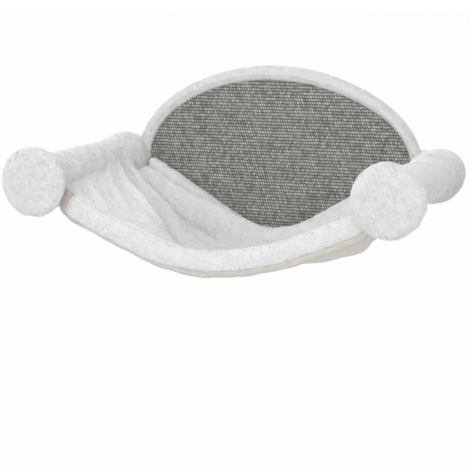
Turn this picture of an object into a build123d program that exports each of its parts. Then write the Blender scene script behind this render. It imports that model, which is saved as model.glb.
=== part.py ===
from build123d import *
import os
from math import atan2, cos, degrees, hypot, radians, sin, tan

# Wall-mounted cat hammock, in millimetres.
# X runs to the right, Y into the wall and Z up. The wall is the plane Y = 0, and the origin lies
# on it, halfway between the two arms at the height of their axes. Every depth below is measured
# from the wall out into the room, towards -Y.

# Overall sizes
arm_spacing = 454.0
cap_front_depth = 300.0

# Clearances
soft_gap = 0.3
wood_gap = 0.2
metal_gap = 0.05
overrun = 1.0

# Backboard, an oval with a round ear behind each arm
lining_t = 2.0
board_t = 12.0
board_half_height = 127.0
ear_r = 27.0
ear_neck_height = 40.0

# Sisal mat on the front of the board
sisal_t = 5.0
sisal_side_margin = 9.0
sisal_top_margin = 10.0

# Padded plush rim round the board
rim_overhang = 8.0
rim_front_depth = 24.0
rim_cover_t = 3.0
rim_outer_round = 8.5
rim_inner_round = 6.5
rim_padding_round = 4.0
flange_inset = 0.8

# Felt lining on the back of the board
lining_margin = 16.0
ear_lining_r = 18.0
ear_bridge_height = 24.0

# Keyhole hanger plates
hanger_spacing = 240.0
hanger_height = 55.0
hanger_width = 25.0
hanger_length = 52.0
hanger_t = 1.5
keyhole_entry_r = 5.0
keyhole_slot_r = 2.5
keyhole_drop = 8.0
keyhole_rise = 8.0
hanger_corner_r = 3.0
hanger_pocket_depth = 6.5
hanger_pocket_margin = 1.5
hanger_screw_inset = 6.0
hanger_screw_r = 1.6
hanger_screw_length = 9.0
hanger_screw_head_r = 3.2
hanger_screw_head_t = 1.4
lining_window_margin = 2.0

# Staples that hold the rim cover to the back of the board
staple_count = 20
staple_crown = 10.0
staple_wire = 0.6
staple_leg = 6.0
staple_edge_inset = 6.0

# Arms: a round wooden post, a foam tube and a plush tunnel that slides over both
post_r = 18.0
post_edge_round = 1.0
arm_padding_t = 7.5
tunnel_t = 4.0

# Threads, inserts, bolts and pins of the arms
thread_r = 4.0
insert_r = 6.0
insert_length = 18.0
insert_well = 2.0
arm_bolt_length = 26.0
bolt_head_r = 8.0
bolt_head_t = 2.4
washer_r = 12.0
arm_washer_t = 1.6
pin_r = 2.5
pin_offset = 11.0
pin_depth_each_way = 7.0

# Plush collar that swells round the foot of each arm
collar_root_r = 30.5
collar_swell_r = 37.0
collar_swell_depth = 45.0
collar_end_r = 31.0
collar_end_depth = 78.0
collar_lip = 7.0

# Round padded cap at the end of each arm
cap_r = 43.0
cap_t = 20.0
cap_round = 9.4
cap_cover_t = 4.0
cap_back_t = 3.0
cap_core_r = 33.0
cap_core_t = 8.0
cap_core_round = 1.5
cap_padding_round = 6.0
cap_washer_t = 1.5
cap_bolt_engagement = 16.0
cap_mouth_clearance = 1.3

# Hanging cloth: a plush top, a layer of wadding and a cloth underside
sling_top_t = 6.0
sling_wadding_t = 4.5
sling_underside_t = 1.5
sling_tuck = 2.8
tunnel_tail_top = 14.0
tunnel_tail_bottom = 43.0
tunnel_foot_angle = 15.0

# Height of the cloth at its middle and at its ends, and how square its hang is, station by
# station from the rear hem to the front hem. Heights are shares of the sag below the arm axes.
sling_sag_above_board_edge = 3.0
sling_station_shares = (0.0, 0.13, 0.28, 0.45, 0.62, 0.80, 1.0)
sling_middle_shares = (0.74, 0.84, 0.95, 1.0, 0.98, 0.88, 0.72)
sling_end_shares = (0.0, 0.07, 0.15, 0.18, 0.18, 0.18, 0.19)
sling_squareness = (1.3, 1.7, 2.2, 2.5, 2.5, 2.1, 1.65)

# Folds that run from one arm to the middle of the front hem. Each row holds the fold's place at
# the rear and at the front as shares of the half width, and its height as a share of the fold.
fold_height = 17.0
fold_scallop_share = 0.6
fold_rear_share = 0.1
fold_front_share = 0.9
fold_line_shares = (
    (-0.93, -0.74, 0.25),
    (-0.88, -0.22, 1.0),
    (-0.80, -0.08, -0.2),
    (-0.62, 0.08, 0.5),
    (-0.30, 0.20, -0.2),
    (0.05, 0.34, 0.3),
    (0.42, 0.47, -0.2),
    (0.72, 0.60, 0.8),
    (0.86, 0.74, -0.1),
)
plain_line_shares = (-0.92, -0.72, -0.4, 0.0, 0.4, 0.72, 0.92)

# Padded hems along the front and rear edges of the cloth
front_hem_setback = 20.0
front_hem_half_t = 10.0
front_hem_half_height = 16.5
front_hem_wall = 4.0
front_hem_sink = 5.7
front_hem_end_sink = 7.6
front_hem_slope_share = 1.35
rear_hem_r = 9.5
rear_hem_wall = 2.8
rear_hem_sink = 4.7
rear_hem_end_rise = 5.7
rear_hem_slope_share = 1.19
rear_hem_end_gap = 4.0
binding_width = 10.0
binding_t = 2.2

# Depths that follow from the sizes above
board_back = lining_t
board_front = board_back + board_t
sisal_front = board_front + sisal_t
board_half_width = arm_spacing / 2 - ear_r
rim_half_width = board_half_width + rim_overhang
rim_half_height = board_half_height + rim_overhang
sisal_half_width = board_half_width - sisal_side_margin
sisal_half_height = board_half_height - sisal_top_margin
cap_back_depth = cap_front_depth - cap_t
cap_core_back = cap_back_depth + cap_back_t
post_end = cap_core_back - cap_washer_t
tunnel_end = cap_back_depth - soft_gap
padding_r = post_r + arm_padding_t
tunnel_inner_r = padding_r + soft_gap
tunnel_r = tunnel_inner_r + tunnel_t
sling_half_width = arm_spacing / 2 - tunnel_r + sling_tuck
front_hem_depth = cap_back_depth - front_hem_setback
rear_hem_room = min(sisal_half_width, arm_spacing / 2 - collar_swell_r)
rear_hem_half_width = rear_hem_room - rear_hem_end_gap
sling_sag = board_half_height - sling_sag_above_board_edge
rear_hem_depth = sisal_front + soft_gap + rear_hem_r
cloth_back = rear_hem_depth + rear_hem_r + soft_gap
cloth_front = front_hem_depth - front_hem_half_t - soft_gap
sides = {"left": -1, "right": 1}


def front_plane(depth):
    """The plane that far out from the wall: its first axis is X, its second Z, and it faces the room."""
    return Plane(origin=(0, -depth, 0), x_dir=(1, 0, 0), z_dir=(0, -1, 0))


def slab(outline, near, far):
    """A flat piece between two depths."""
    return extrude(front_plane(near) * outline, amount=far - near)


def arm_x(side):
    return sides[side] * arm_spacing / 2


def arm_disc(side, radius):
    """A circle round the axis of one arm."""
    return Pos(arm_x(side), 0) * Circle(radius)


def arm_rod(side, radius, near, far):
    """A round rod on the axis of one arm."""
    return slab(arm_disc(side, radius), near, far)


def arm_ring(side, radius, bore, near, far):
    """A round tube on the axis of one arm."""
    return slab(arm_disc(side, radius) - arm_disc(side, bore), near, far)


def edges_at(solid, depth):
    """The edges of a solid that lie flat at one depth."""
    return solid.edges().filter_by_position(Axis.Y, -depth, -depth)


# Backboard and what is fixed to it


def board_outline(gap):
    """The oval, its two ears and the necks between them, grown by a gap all round."""
    outline = Ellipse(board_half_width + gap, board_half_height + gap)
    outline += Rectangle(arm_spacing, ear_neck_height + 2 * gap)
    for side in sides:
        outline += arm_disc(side, ear_r + gap)
    return outline


def keyhole(entry_r, slot_r):
    """A round entry with a narrower slot that rises from it."""
    slot_height = keyhole_drop + keyhole_rise
    shape = Pos(0, -keyhole_drop) * Circle(entry_r)
    shape += Pos(0, (keyhole_rise - keyhole_drop) / 2) * Rectangle(2 * slot_r, slot_height)
    shape += Pos(0, keyhole_rise) * Circle(slot_r)
    return shape


def hanger_place(side):
    return Pos(sides[side] * hanger_spacing / 2, hanger_height)


def hanger_screw_places():
    rise = hanger_length / 2 - hanger_screw_inset
    return [hanger_place(side) * Pos(0, up * rise) for side in sides for up in (-1, 1)]


def make_hanger_plate(side):
    plate = RectangleRounded(hanger_width, hanger_length, hanger_corner_r)
    plate -= keyhole(keyhole_entry_r, keyhole_slot_r)
    plate = hanger_place(side) * plate
    for place in hanger_screw_places():
        plate -= place * Circle(hanger_screw_r + wood_gap)
    return slab(plate, board_back, board_back + hanger_t)


def make_hanger_screws():
    screws = Part()
    for place in hanger_screw_places():
        head = slab(place * Circle(hanger_screw_head_r), board_back - hanger_screw_head_t, board_back)
        shank = slab(place * Circle(hanger_screw_r), board_back, board_back + hanger_screw_length)
        screws += head + shank
    return screws


def pin_places(side):
    return [Pos(arm_x(side), up * pin_offset) for up in (-1, 1)]


def staple_places():
    """Evenly turned places on the rear flange of the rim, clear of the ears."""
    first_turn = 360 / staple_count / 2
    half_width = board_half_width - staple_edge_inset
    half_height = board_half_height - staple_edge_inset
    places = []
    for index in range(staple_count):
        turn = radians(first_turn + index * 360 / staple_count)
        x, z = half_width * cos(turn), half_height * sin(turn)
        along = degrees(atan2(half_height * cos(turn), -half_width * sin(turn)))
        if hypot(abs(x) - arm_spacing / 2, z) > collar_root_r + staple_crown:
            places.append(Pos(x, z) * Rot(0, 0, along))
    return places


def make_cover_staples():
    crown_back = flange_inset - staple_wire
    staples = Part()
    for place in staple_places():
        crown = Rectangle(staple_crown, staple_wire)
        staples += slab(place * crown, crown_back, flange_inset)
        staples += staple_legs(place, flange_inset)
    return staples


def staple_legs(place, near):
    legs = Part()
    for end in (-1, 1):
        leg = Pos(end * (staple_crown - staple_wire) / 2, 0) * Rectangle(staple_wire, staple_wire)
        legs += slab(place * leg, near, flange_inset + staple_leg)
    return legs


def board_envelope():
    return slab(board_outline(soft_gap), board_back, board_front)


def make_backboard():
    board = slab(board_outline(0), board_back, board_front)
    for side in sides:
        seat_depth = arm_washer_t + bolt_head_t
        board -= arm_rod(side, thread_r + wood_gap, board_back, board_front)
        board -= arm_rod(side, washer_r + wood_gap, board_back, board_back + seat_depth)
        for place in pin_places(side):
            hole = Circle(pin_r + metal_gap)
            board -= slab(place * hole, board_front - pin_depth_each_way - wood_gap, board_front)
        recess = RectangleRounded(
            hanger_width + 2 * wood_gap, hanger_length + 2 * wood_gap, hanger_corner_r + wood_gap
        )
        pocket = keyhole(
            keyhole_entry_r + hanger_pocket_margin, keyhole_entry_r + hanger_pocket_margin
        )
        pocket_floor = board_back + hanger_t + hanger_pocket_depth
        board -= slab(hanger_place(side) * recess, board_back, board_back + hanger_t)
        board -= slab(hanger_place(side) * pocket, board_back, pocket_floor)
    for place in hanger_screw_places():
        hole = Circle(hanger_screw_r + metal_gap)
        board -= slab(place * hole, board_back, board_back + hanger_screw_length + wood_gap)
    for place in staple_places():
        board -= staple_legs(place, board_back)
    return board


def make_sisal_panel():
    return slab(Ellipse(sisal_half_width, sisal_half_height), board_front, sisal_front)


def lining_outline(gap):
    """The felt covers the back of the board and reaches over the bolt heads in the ears."""
    outline = Ellipse(
        board_half_width - lining_margin + gap, board_half_height - lining_margin + gap
    )
    outline += Rectangle(arm_spacing, ear_bridge_height + 2 * gap)
    for side in sides:
        outline += arm_disc(side, ear_lining_r + gap)
    return outline


def make_rear_lining():
    outline = lining_outline(0)
    for side in sides:
        width = hanger_width + 2 * lining_window_margin
        length = hanger_length + 2 * lining_window_margin
        outline -= hanger_place(side) * RectangleRounded(width, length, hanger_corner_r)
    return slab(outline, 0, lining_t)


def rim_ring(edge_inset, front_depth, outer_round, inner_round):
    """A padded ring round the board, set in from the outside of the rim by one inset."""
    outer = Ellipse(rim_half_width - edge_inset, rim_half_height - edge_inset)
    mouth_gap = soft_gap + edge_inset
    ring = slab(outer, flange_inset, front_depth)
    mouth = Ellipse(sisal_half_width + mouth_gap, sisal_half_height + mouth_gap)
    ring -= slab(mouth, board_front, front_depth + overrun)
    front_edges = edges_at(ring, front_depth).sort_by(SortBy.LENGTH)
    ring = fillet(front_edges[-1], outer_round)
    inner_edge = edges_at(ring, front_depth).sort_by(SortBy.LENGTH)[0]
    return fillet(inner_edge, inner_round)


def make_rim_padding():
    front = rim_front_depth - rim_cover_t
    ring = rim_ring(rim_cover_t, front, rim_padding_round, rim_padding_round)
    ring -= slab(Ellipse(rim_half_width, rim_half_height), 0, board_back)
    ring -= board_envelope()
    for side in sides:
        ring -= collar_envelope(side)
    return ring


def make_rim_cover():
    ring = rim_ring(0, rim_front_depth, rim_outer_round, rim_inner_round)
    padding_front = rim_front_depth - rim_cover_t + soft_gap
    inside_edge = rim_cover_t - soft_gap
    filling_round = rim_padding_round
    filling = rim_ring(inside_edge, padding_front, filling_round, filling_round)
    ring -= filling - slab(Ellipse(rim_half_width, rim_half_height), 0, board_back)
    ring -= board_envelope()
    ring -= slab(lining_outline(soft_gap), 0, board_back)
    for place in staple_places():
        ring -= staple_legs(place, flange_inset)
    for side in sides:
        ring -= collar_envelope(side)
    return ring


# Arms


def make_arm_post(side):
    post = arm_rod(side, post_r, board_front, post_end)
    post = fillet(edges_at(post, post_end), post_edge_round)
    well = insert_length + insert_well
    post -= arm_rod(side, insert_r + metal_gap, board_front, board_front + well)
    post -= arm_rod(side, insert_r + metal_gap, post_end - well, post_end)
    for place in pin_places(side):
        hole = Circle(pin_r + metal_gap)
        post -= slab(place * hole, board_front, board_front + pin_depth_each_way + wood_gap)
    return post


def make_root_insert(side):
    return arm_ring(side, insert_r, thread_r, board_front, board_front + insert_length)


def make_tip_insert(side):
    return arm_ring(side, insert_r, thread_r, post_end - insert_length, post_end)


def make_arm_bolts():
    bolts = Part()
    head_front = board_back + bolt_head_t
    for side in sides:
        bolts += arm_rod(side, bolt_head_r, board_back, head_front)
        bolts += arm_rod(side, thread_r - metal_gap, head_front, head_front + arm_bolt_length)
    return bolts


def make_arm_bolt_washers():
    near = board_back + bolt_head_t
    washers = Part()
    for side in sides:
        washers += arm_ring(side, washer_r, thread_r + wood_gap, near, near + arm_washer_t)
    return washers


def make_arm_locating_pins():
    pins = Part()
    near, far = board_front - pin_depth_each_way, board_front + pin_depth_each_way
    for side in sides:
        for place in pin_places(side):
            pins += slab(place * Circle(pin_r), near, far)
    return pins


def make_arm_padding(side):
    return arm_ring(side, padding_r, post_r + wood_gap, board_front + wood_gap, tunnel_end)


def collar_profile(side, gap):
    """Half of the collar's outline, from the arm's axis outwards, seen from above."""
    x = arm_x(side)
    root = (x + collar_root_r + gap, -flange_inset)
    swell = (x + collar_swell_r + gap, -collar_swell_depth)
    end = (x + collar_end_r + gap, -collar_end_depth - gap)
    root_bend = (
        x + (collar_root_r + 2 * collar_swell_r) / 3 + gap,
        -(flange_inset + collar_swell_depth) / 2,
    )
    end_bend = (
        x + (collar_end_r + 2 * collar_swell_r) / 3 + gap,
        -(collar_swell_depth + collar_end_depth) / 2,
    )
    outline = ThreePointArc(root, root_bend, swell) + ThreePointArc(swell, end_bend, end)
    axis_root, axis_end = (x, root[1]), (x, end[1])
    outline += Polyline(end, axis_end, axis_root, root)
    return make_face(outline)


def collar_envelope(side, gap=soft_gap):
    return revolve(collar_profile(side, gap), Axis((arm_x(side), 0, 0), (0, 1, 0)))


def make_arm_base_collar(side):
    collar = collar_envelope(side, 0)
    collar -= arm_rod(side, ear_r + soft_gap, board_back, board_front + soft_gap)
    collar -= arm_rod(side, tunnel_inner_r, board_front, collar_end_depth + overrun)
    collar -= slab(lining_outline(soft_gap), 0, board_back)
    collar -= arm_rod(side, collar_root_r - collar_lip, 0, board_back)
    return collar - board_envelope()


def tunnel_section(side):
    """A loop round the arm, with a tail where the hanging cloth leaves it."""
    out = sides[side]
    x = arm_x(side)
    tail_x = out * (sling_half_width + soft_gap)
    foot_turn = radians(tunnel_foot_angle)
    tail = make_face(
        Polyline(
            (tail_x, -tunnel_tail_top),
            (tail_x, -tunnel_tail_bottom),
            (x - out * tunnel_r * sin(foot_turn), -tunnel_r * cos(foot_turn)),
            (x, 0),
            (tail_x, -tunnel_tail_top),
        )
    )
    return arm_disc(side, tunnel_r) + tail - arm_disc(side, tunnel_inner_r)


def make_arm_tunnel(side):
    return slab(tunnel_section(side), collar_end_depth + soft_gap, tunnel_end)


# Caps, which unscrew from the arms


def make_cap_washer(side):
    return arm_ring(side, washer_r, thread_r + wood_gap, post_end, cap_core_back)


def make_cap_core(side):
    core_front = cap_core_back + cap_core_t
    core = arm_rod(side, cap_core_r, cap_core_back, core_front)
    core = fillet(edges_at(core, core_front), cap_core_round)
    core -= arm_rod(side, thread_r, cap_core_back, core_front)
    return core - arm_rod(side, bolt_head_r + metal_gap, core_front - bolt_head_t, core_front)


def make_cap_bolt(side):
    head_back = cap_core_back + cap_core_t - bolt_head_t
    bolt = arm_rod(side, bolt_head_r, head_back, head_back + bolt_head_t)
    return bolt + arm_rod(side, thread_r - metal_gap, post_end - cap_bolt_engagement, head_back)


def cap_filling(side, gap):
    """The space inside the plush cover of a cap."""
    front = cap_front_depth - cap_cover_t + gap
    filling = arm_rod(side, cap_r - cap_cover_t + gap, cap_core_back, front)
    return fillet(edges_at(filling, front), cap_padding_round)


def make_cap_padding(side):
    padding = cap_filling(side, -soft_gap)
    core_front = cap_core_back + cap_core_t
    return padding - arm_rod(side, cap_core_r + soft_gap, cap_core_back, core_front + soft_gap)


def make_cap_cover(side):
    cover = arm_rod(side, cap_r, cap_back_depth, cap_front_depth)
    cover = fillet(edges_at(cover, cap_front_depth), cap_round)
    cover = fillet(edges_at(cover, cap_back_depth), cap_round)
    cover -= cap_filling(side, 0)
    return cover - arm_rod(side, post_r + cap_mouth_clearance, cap_back_depth, cap_core_back)


# Hanging cloth


def between(values, share):
    """A smooth reading between the stations of the cloth."""
    for index in range(len(values) - 1):
        low, high = sling_station_shares[index], sling_station_shares[index + 1]
        if share <= high:
            part = (share - low) / (high - low)
            return values[index] + (values[index + 1] - values[index]) * part
    return values[-1]


def hang_height(x_share, share):
    """Height of the plain cloth, across the width and from the rear hem to the front hem."""
    middle = -sling_sag * between(sling_middle_shares, share)
    end = -sling_sag * between(sling_end_shares, share)
    return middle + (end - middle) * abs(x_share) ** between(sling_squareness, share)


def fold_points(share):
    """The upper surface of the cloth across its width, with a point on every fold."""
    along = fold_rear_share + (fold_front_share - fold_rear_share) * share
    swell = sin(radians(180) * along)
    points = [(-sling_half_width, hang_height(-1, share))]
    for rear, front, height in fold_line_shares:
        x_share = rear + (front - rear) * share
        lift = fold_height * height * swell
        points.append((x_share * sling_half_width, hang_height(x_share, share) + lift))
    points.append((sling_half_width, hang_height(1, share)))
    return points


def plain_points(share, drop):
    """A surface inside the cloth, that far below its plain hang."""
    x_shares = (-1, *plain_line_shares, 1)
    return [(x * sling_half_width, hang_height(x, share) - drop) for x in x_shares]


def scalloped(points, share, drop, bulge_share):
    """Arcs from point to point, each passing close to the plain hang between its ends."""
    edges = []
    for (x0, z0), (x1, z1) in zip(points, points[1:]):
        middle_x = (x0 + x1) / 2
        plain_z = hang_height(middle_x / sling_half_width, share) - drop
        chord_z = (z0 + z1) / 2
        middle_z = chord_z + (plain_z - chord_z) * bulge_share
        edges.append(ThreePointArc((x0, z0), (middle_x, middle_z), (x1, z1)))
    return edges


def cloth_section(share, top_drop, bottom_drop, folded):
    upper = fold_points(share) if folded else plain_points(share, top_drop)
    lower = plain_points(share, bottom_drop)
    edges = scalloped(upper, share, top_drop, fold_scallop_share if folded else 1)
    edges += scalloped(lower, share, bottom_drop, 1)
    edges += [Line(lower[0], upper[0]), Line(upper[-1], lower[-1])]
    depth = cloth_back + (cloth_front - cloth_back) * share
    return front_plane(depth) * make_face(Curve() + edges)


def make_cloth(top_drop, bottom_drop, folded=False):
    sections = [
        cloth_section(share, top_drop, bottom_drop, folded) for share in sling_station_shares
    ]
    cloth = loft(Sketch() + sections)
    for side in sides:
        cloth -= collar_envelope(side)
    return cloth


def make_sling_top():
    return make_cloth(0, sling_top_t, folded=True)


def make_sling_wadding():
    top_drop = sling_top_t + soft_gap
    return make_cloth(top_drop, top_drop + sling_wadding_t)


def make_sling_underside():
    top_drop = sling_top_t + sling_wadding_t + 2 * soft_gap
    return make_cloth(top_drop, top_drop + sling_underside_t)


def hem_path(middle_z, end_z, slope_share, half_width, overlength, depth, outset=0):
    """A line, an arc and a line along a hem, moved outwards from its middle by one outset.

    The arc has its lowest point at the middle height. The lines pass through the end height at the
    half width, steeper than the straight way there by the slope share, and run on by the overlength.
    """
    rise = end_z - middle_z
    turn = atan2(slope_share * rise, half_width)
    bend_r = (slope_share - 1) * rise * cos(turn) / (1 - cos(turn))
    centre_z = middle_z + bend_r
    radius = bend_r + outset
    bend = (radius * sin(turn), centre_z - radius * cos(turn))
    reach = half_width + overlength
    end = (reach, bend[1] + (reach - bend[0]) * tan(turn))
    mirror = [(-x, z) for x, z in (end, bend)]
    path = Line(mirror[0], mirror[1])
    path += ThreePointArc(mirror[1], (0, centre_z - radius), bend)
    path += Line(bend, end)
    return front_plane(depth) * Wire(path.edges())


def swept(path, section):
    """The section carried along a path: its first axis is the depth, its second runs upwards."""
    start = Plane(origin=path @ 0, x_dir=(0, -1, 0), z_dir=path % 0)
    return sweep(start * section, path=path)


def front_hem_roll(section, outset=0):
    """One layer of the front hem, cut upright at the tails of the tunnels."""
    path = hem_path(
        hang_height(0, 1) - front_hem_sink,
        hang_height(1, 1) - front_hem_end_sink,
        front_hem_slope_share,
        sling_half_width,
        front_hem_half_height,
        front_hem_depth,
        outset,
    )
    return swept(path, section) & upright_cut(sling_half_width)


def rear_hem_roll(radius):
    """One layer of the rear hem, cut upright beside the collars."""
    end_share = rear_hem_half_width / sling_half_width
    path = hem_path(
        hang_height(0, 0) - rear_hem_sink,
        hang_height(end_share, 0) + rear_hem_end_rise,
        rear_hem_slope_share,
        rear_hem_half_width,
        rear_hem_r,
        rear_hem_depth,
    )
    return swept(path, Circle(radius)) & upright_cut(rear_hem_half_width)


def upright_cut(half_width):
    return slab(Rectangle(2 * half_width, 2 * arm_spacing), 0, cap_front_depth + overrun)


def front_hem_oval(inset):
    return Ellipse(front_hem_half_t - inset, front_hem_half_height - inset)


def make_front_hem():
    return front_hem_roll(front_hem_oval(0)) - front_hem_roll(front_hem_oval(front_hem_wall))


def make_front_hem_wadding():
    return front_hem_roll(front_hem_oval(front_hem_wall + soft_gap))


def make_rear_hem():
    return rear_hem_roll(rear_hem_r) - rear_hem_roll(rear_hem_r - rear_hem_wall)


def make_rear_hem_wadding():
    return rear_hem_roll(rear_hem_r - rear_hem_wall - soft_gap)


def make_hem_binding():
    outset = front_hem_half_height + soft_gap + binding_t / 2
    return front_hem_roll(Rectangle(binding_width, binding_t), outset)


# All pieces, by name

shared_pieces = {
    "backboard": make_backboard,
    "sisal_panel": make_sisal_panel,
    "rim_padding": make_rim_padding,
    "rim_cover": make_rim_cover,
    "rear_lining": make_rear_lining,
    "hanger_screws": make_hanger_screws,
    "cover_staples": make_cover_staples,
    "arm_bolts": make_arm_bolts,
    "arm_bolt_washers": make_arm_bolt_washers,
    "arm_locating_pins": make_arm_locating_pins,
    "sling_top": make_sling_top,
    "sling_wadding": make_sling_wadding,
    "sling_underside": make_sling_underside,
    "front_hem": make_front_hem,
    "front_hem_wadding": make_front_hem_wadding,
    "rear_hem": make_rear_hem,
    "rear_hem_wadding": make_rear_hem_wadding,
    "hem_binding": make_hem_binding,
}

side_pieces = {
    "hanger_plate": make_hanger_plate,
    "arm_post": make_arm_post,
    "arm_padding": make_arm_padding,
    "arm_tunnel": make_arm_tunnel,
    "arm_base_collar": make_arm_base_collar,
    "root_insert": make_root_insert,
    "tip_insert": make_tip_insert,
    "cap_washer": make_cap_washer,
    "cap_core": make_cap_core,
    "cap_padding": make_cap_padding,
    "cap_cover": make_cap_cover,
    "cap_bolt": make_cap_bolt,
}


def main():
    os.makedirs("parts", exist_ok=True)
    pieces = {name: make() for name, make in shared_pieces.items()}
    for name, make in side_pieces.items():
        for side in sides:
            pieces[f"{side}_{name}"] = make(side)
    for name, piece in pieces.items():
        export_step(piece, f"parts/{name}.step")


main()
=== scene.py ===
# %% [markdown]
# # A wall-mounted cat hammock in white plush
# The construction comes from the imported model: the board, the arms, the threads and the places of all
# soft parts. This file dresses it. Every soft part is built here as its own mesh, in metres, in the frame
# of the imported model: X to the right, Y into the wall, Z up, with the wall at Y = 0.

from math import atan2, ceil, cos, exp, pi, radians, sin, tan

import bmesh
import bpy
import numpy as np
from mathutils import Matrix, Vector, noise


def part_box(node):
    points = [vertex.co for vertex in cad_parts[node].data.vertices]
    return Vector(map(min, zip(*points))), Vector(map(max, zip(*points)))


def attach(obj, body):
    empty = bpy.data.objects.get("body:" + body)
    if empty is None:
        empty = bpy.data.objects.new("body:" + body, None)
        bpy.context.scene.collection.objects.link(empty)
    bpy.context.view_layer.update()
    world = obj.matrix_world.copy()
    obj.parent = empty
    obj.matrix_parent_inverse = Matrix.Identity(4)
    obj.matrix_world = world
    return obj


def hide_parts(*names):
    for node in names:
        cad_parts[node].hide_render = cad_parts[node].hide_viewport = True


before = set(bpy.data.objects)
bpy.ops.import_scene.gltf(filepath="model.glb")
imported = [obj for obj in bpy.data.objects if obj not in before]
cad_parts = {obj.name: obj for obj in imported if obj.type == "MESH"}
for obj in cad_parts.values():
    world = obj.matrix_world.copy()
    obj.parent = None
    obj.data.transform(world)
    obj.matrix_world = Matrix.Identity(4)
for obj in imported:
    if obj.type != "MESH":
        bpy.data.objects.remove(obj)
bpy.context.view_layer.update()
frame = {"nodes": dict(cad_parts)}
nodes = frame["nodes"]
print("the packed model has", len(nodes), "nodes")

# %% [markdown]
# ## Sizes
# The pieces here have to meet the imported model, so their sizes are read from it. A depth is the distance
# out from the wall, so it is minus Y.

# %% Sizes read from the frame
mm = 0.001
sides = {"left": -1, "right": 1}


def span(node, axis):
    """The lowest and highest place of a node on one axis: 0 is X, 1 is Y and 2 is Z."""
    low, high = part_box(node)
    return low[axis], high[axis]


def depths(node):
    """How far out from the wall a node starts and ends."""
    low, high = span(node, 1)
    return -high, -low


arm_x = sum(span("right_cap_cover", 0)) / 2
post_r = (span("right_arm_post", 0)[1] - span("right_arm_post", 0)[0]) / 2
foam_r = (span("right_arm_padding", 0)[1] - span("right_arm_padding", 0)[0]) / 2
sleeve_r = span("right_arm_tunnel", 0)[1] - arm_x
cap_r = span("right_cap_cover", 0)[1] - arm_x
cap_back, cap_front = depths("right_cap_cover")
sleeve_back, sleeve_front = depths("right_arm_tunnel")
board_back, board_front = depths("backboard")
sisal_front = depths("sisal_panel")[1]
sisal_a, sisal_b = span("sisal_panel", 0)[1], span("sisal_panel", 2)[1]
rim_a, rim_b = -span("rim_padding", 0)[0], span("rim_cover", 2)[1]
rim_front = depths("rim_cover")[1]
cloth_back, cloth_front = depths("sling_top")
cloth_a = span("sling_top", 0)[1]
hem_back, hem_front = depths("front_hem")
rear_back, rear_front = depths("rear_hem")
screw_x = sum(span("right_hanger_plate", 0)) / 2
screw_low, screw_high = span("hanger_screws", 2)
screw_z, screw_dz = (screw_low + screw_high) / 2, (screw_high - screw_low) / 2 - 3.2 * mm
print(f"arms {2000 * arm_x:.0f} mm apart, caps {2000 * cap_r:.0f} mm across, {1000 * cap_front:.0f} mm out")

# %% [markdown]
# ## The camera
# The photo was taken from the right and a little from above, from about 1.65 m away. The camera is written
# as its place, the way it looks and its focal length in pixels of a frame 470 pixels wide. The picture
# is a crop: its optical axis meets it above the middle, which the lens shift repeats.


# %% The camera
def placed(name, data):
    """A new object in the scene."""
    made = bpy.data.objects.new(name, data)
    bpy.context.scene.collection.objects.link(made)
    return made


frame_px = 470
focal_px = 1279.3
axis_row_px = 175.3
sensor_mm = 36
camera_place = Vector((0.572, -1.678, 0.2185))
camera_turn, camera_rise = radians(20.87), radians(7.61)
lens = bpy.data.cameras.new("camera")
lens.sensor_width = sensor_mm
lens.lens = focal_px * sensor_mm / frame_px
lens.shift_y = (axis_row_px - frame_px / 2) / frame_px
camera = placed("camera", lens)
level = cos(camera_rise)
backwards = Vector((sin(camera_turn) * level, -cos(camera_turn) * level, sin(camera_rise)))
rightwards = Vector((cos(camera_turn), sin(camera_turn), 0))
axes = Matrix((rightwards, backwards.cross(rightwards), backwards)).transposed()
camera.matrix_world = Matrix.Translation(camera_place) @ axes.to_4x4()
bpy.context.scene.camera = camera
print(f"lens {lens.lens:.1f} mm on a {sensor_mm} mm sensor")

# %% [markdown]
# ## Maths in materials
# A material's pattern is a sum of small steps. Written with nodes it is hard to read, so a `Wire` stands
# for one output of a node, and adding or multiplying wires adds the Math nodes. `Nodes` holds one tree and
# makes any other node from its type, its settings and the values of its sockets. `Finish` is the tree of
# one material, with a Principled shader at its end.


# %% Wires, nodes and finishes
class Wire:
    """One output of a node, which can be used in sums."""

    def __init__(self, owner, socket):
        self.owner, self.socket = owner, socket

    def beside(self, name):
        """Another output of the same node."""
        return Wire(self.owner, self.socket.node.outputs[name])

    def math(self, operation, first, second=0.0):
        return self.owner.node("ShaderNodeMath", {"operation": operation}, {0: first, 1: second})

    def __add__(self, other):
        return self.math("ADD", self, other)

    def __sub__(self, other):
        return self.math("SUBTRACT", self, other)

    def __rsub__(self, other):
        return self.math("SUBTRACT", other, self)

    def __mul__(self, other):
        return self.math("MULTIPLY", self, other)

    def __truediv__(self, other):
        return self.math("DIVIDE", self, other)

    def whole(self):
        return self.math("FLOOR", self)

    def sine(self):
        return self.math("SINE", self)

    def size(self):
        return self.math("ABSOLUTE", self)

    def power(self, exponent):
        return self.math("POWER", self, exponent)

    def above(self, other):
        return self.math("GREATER_THAN", self, other)

    def most(self, other):
        return self.math("MAXIMUM", self, other)


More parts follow.
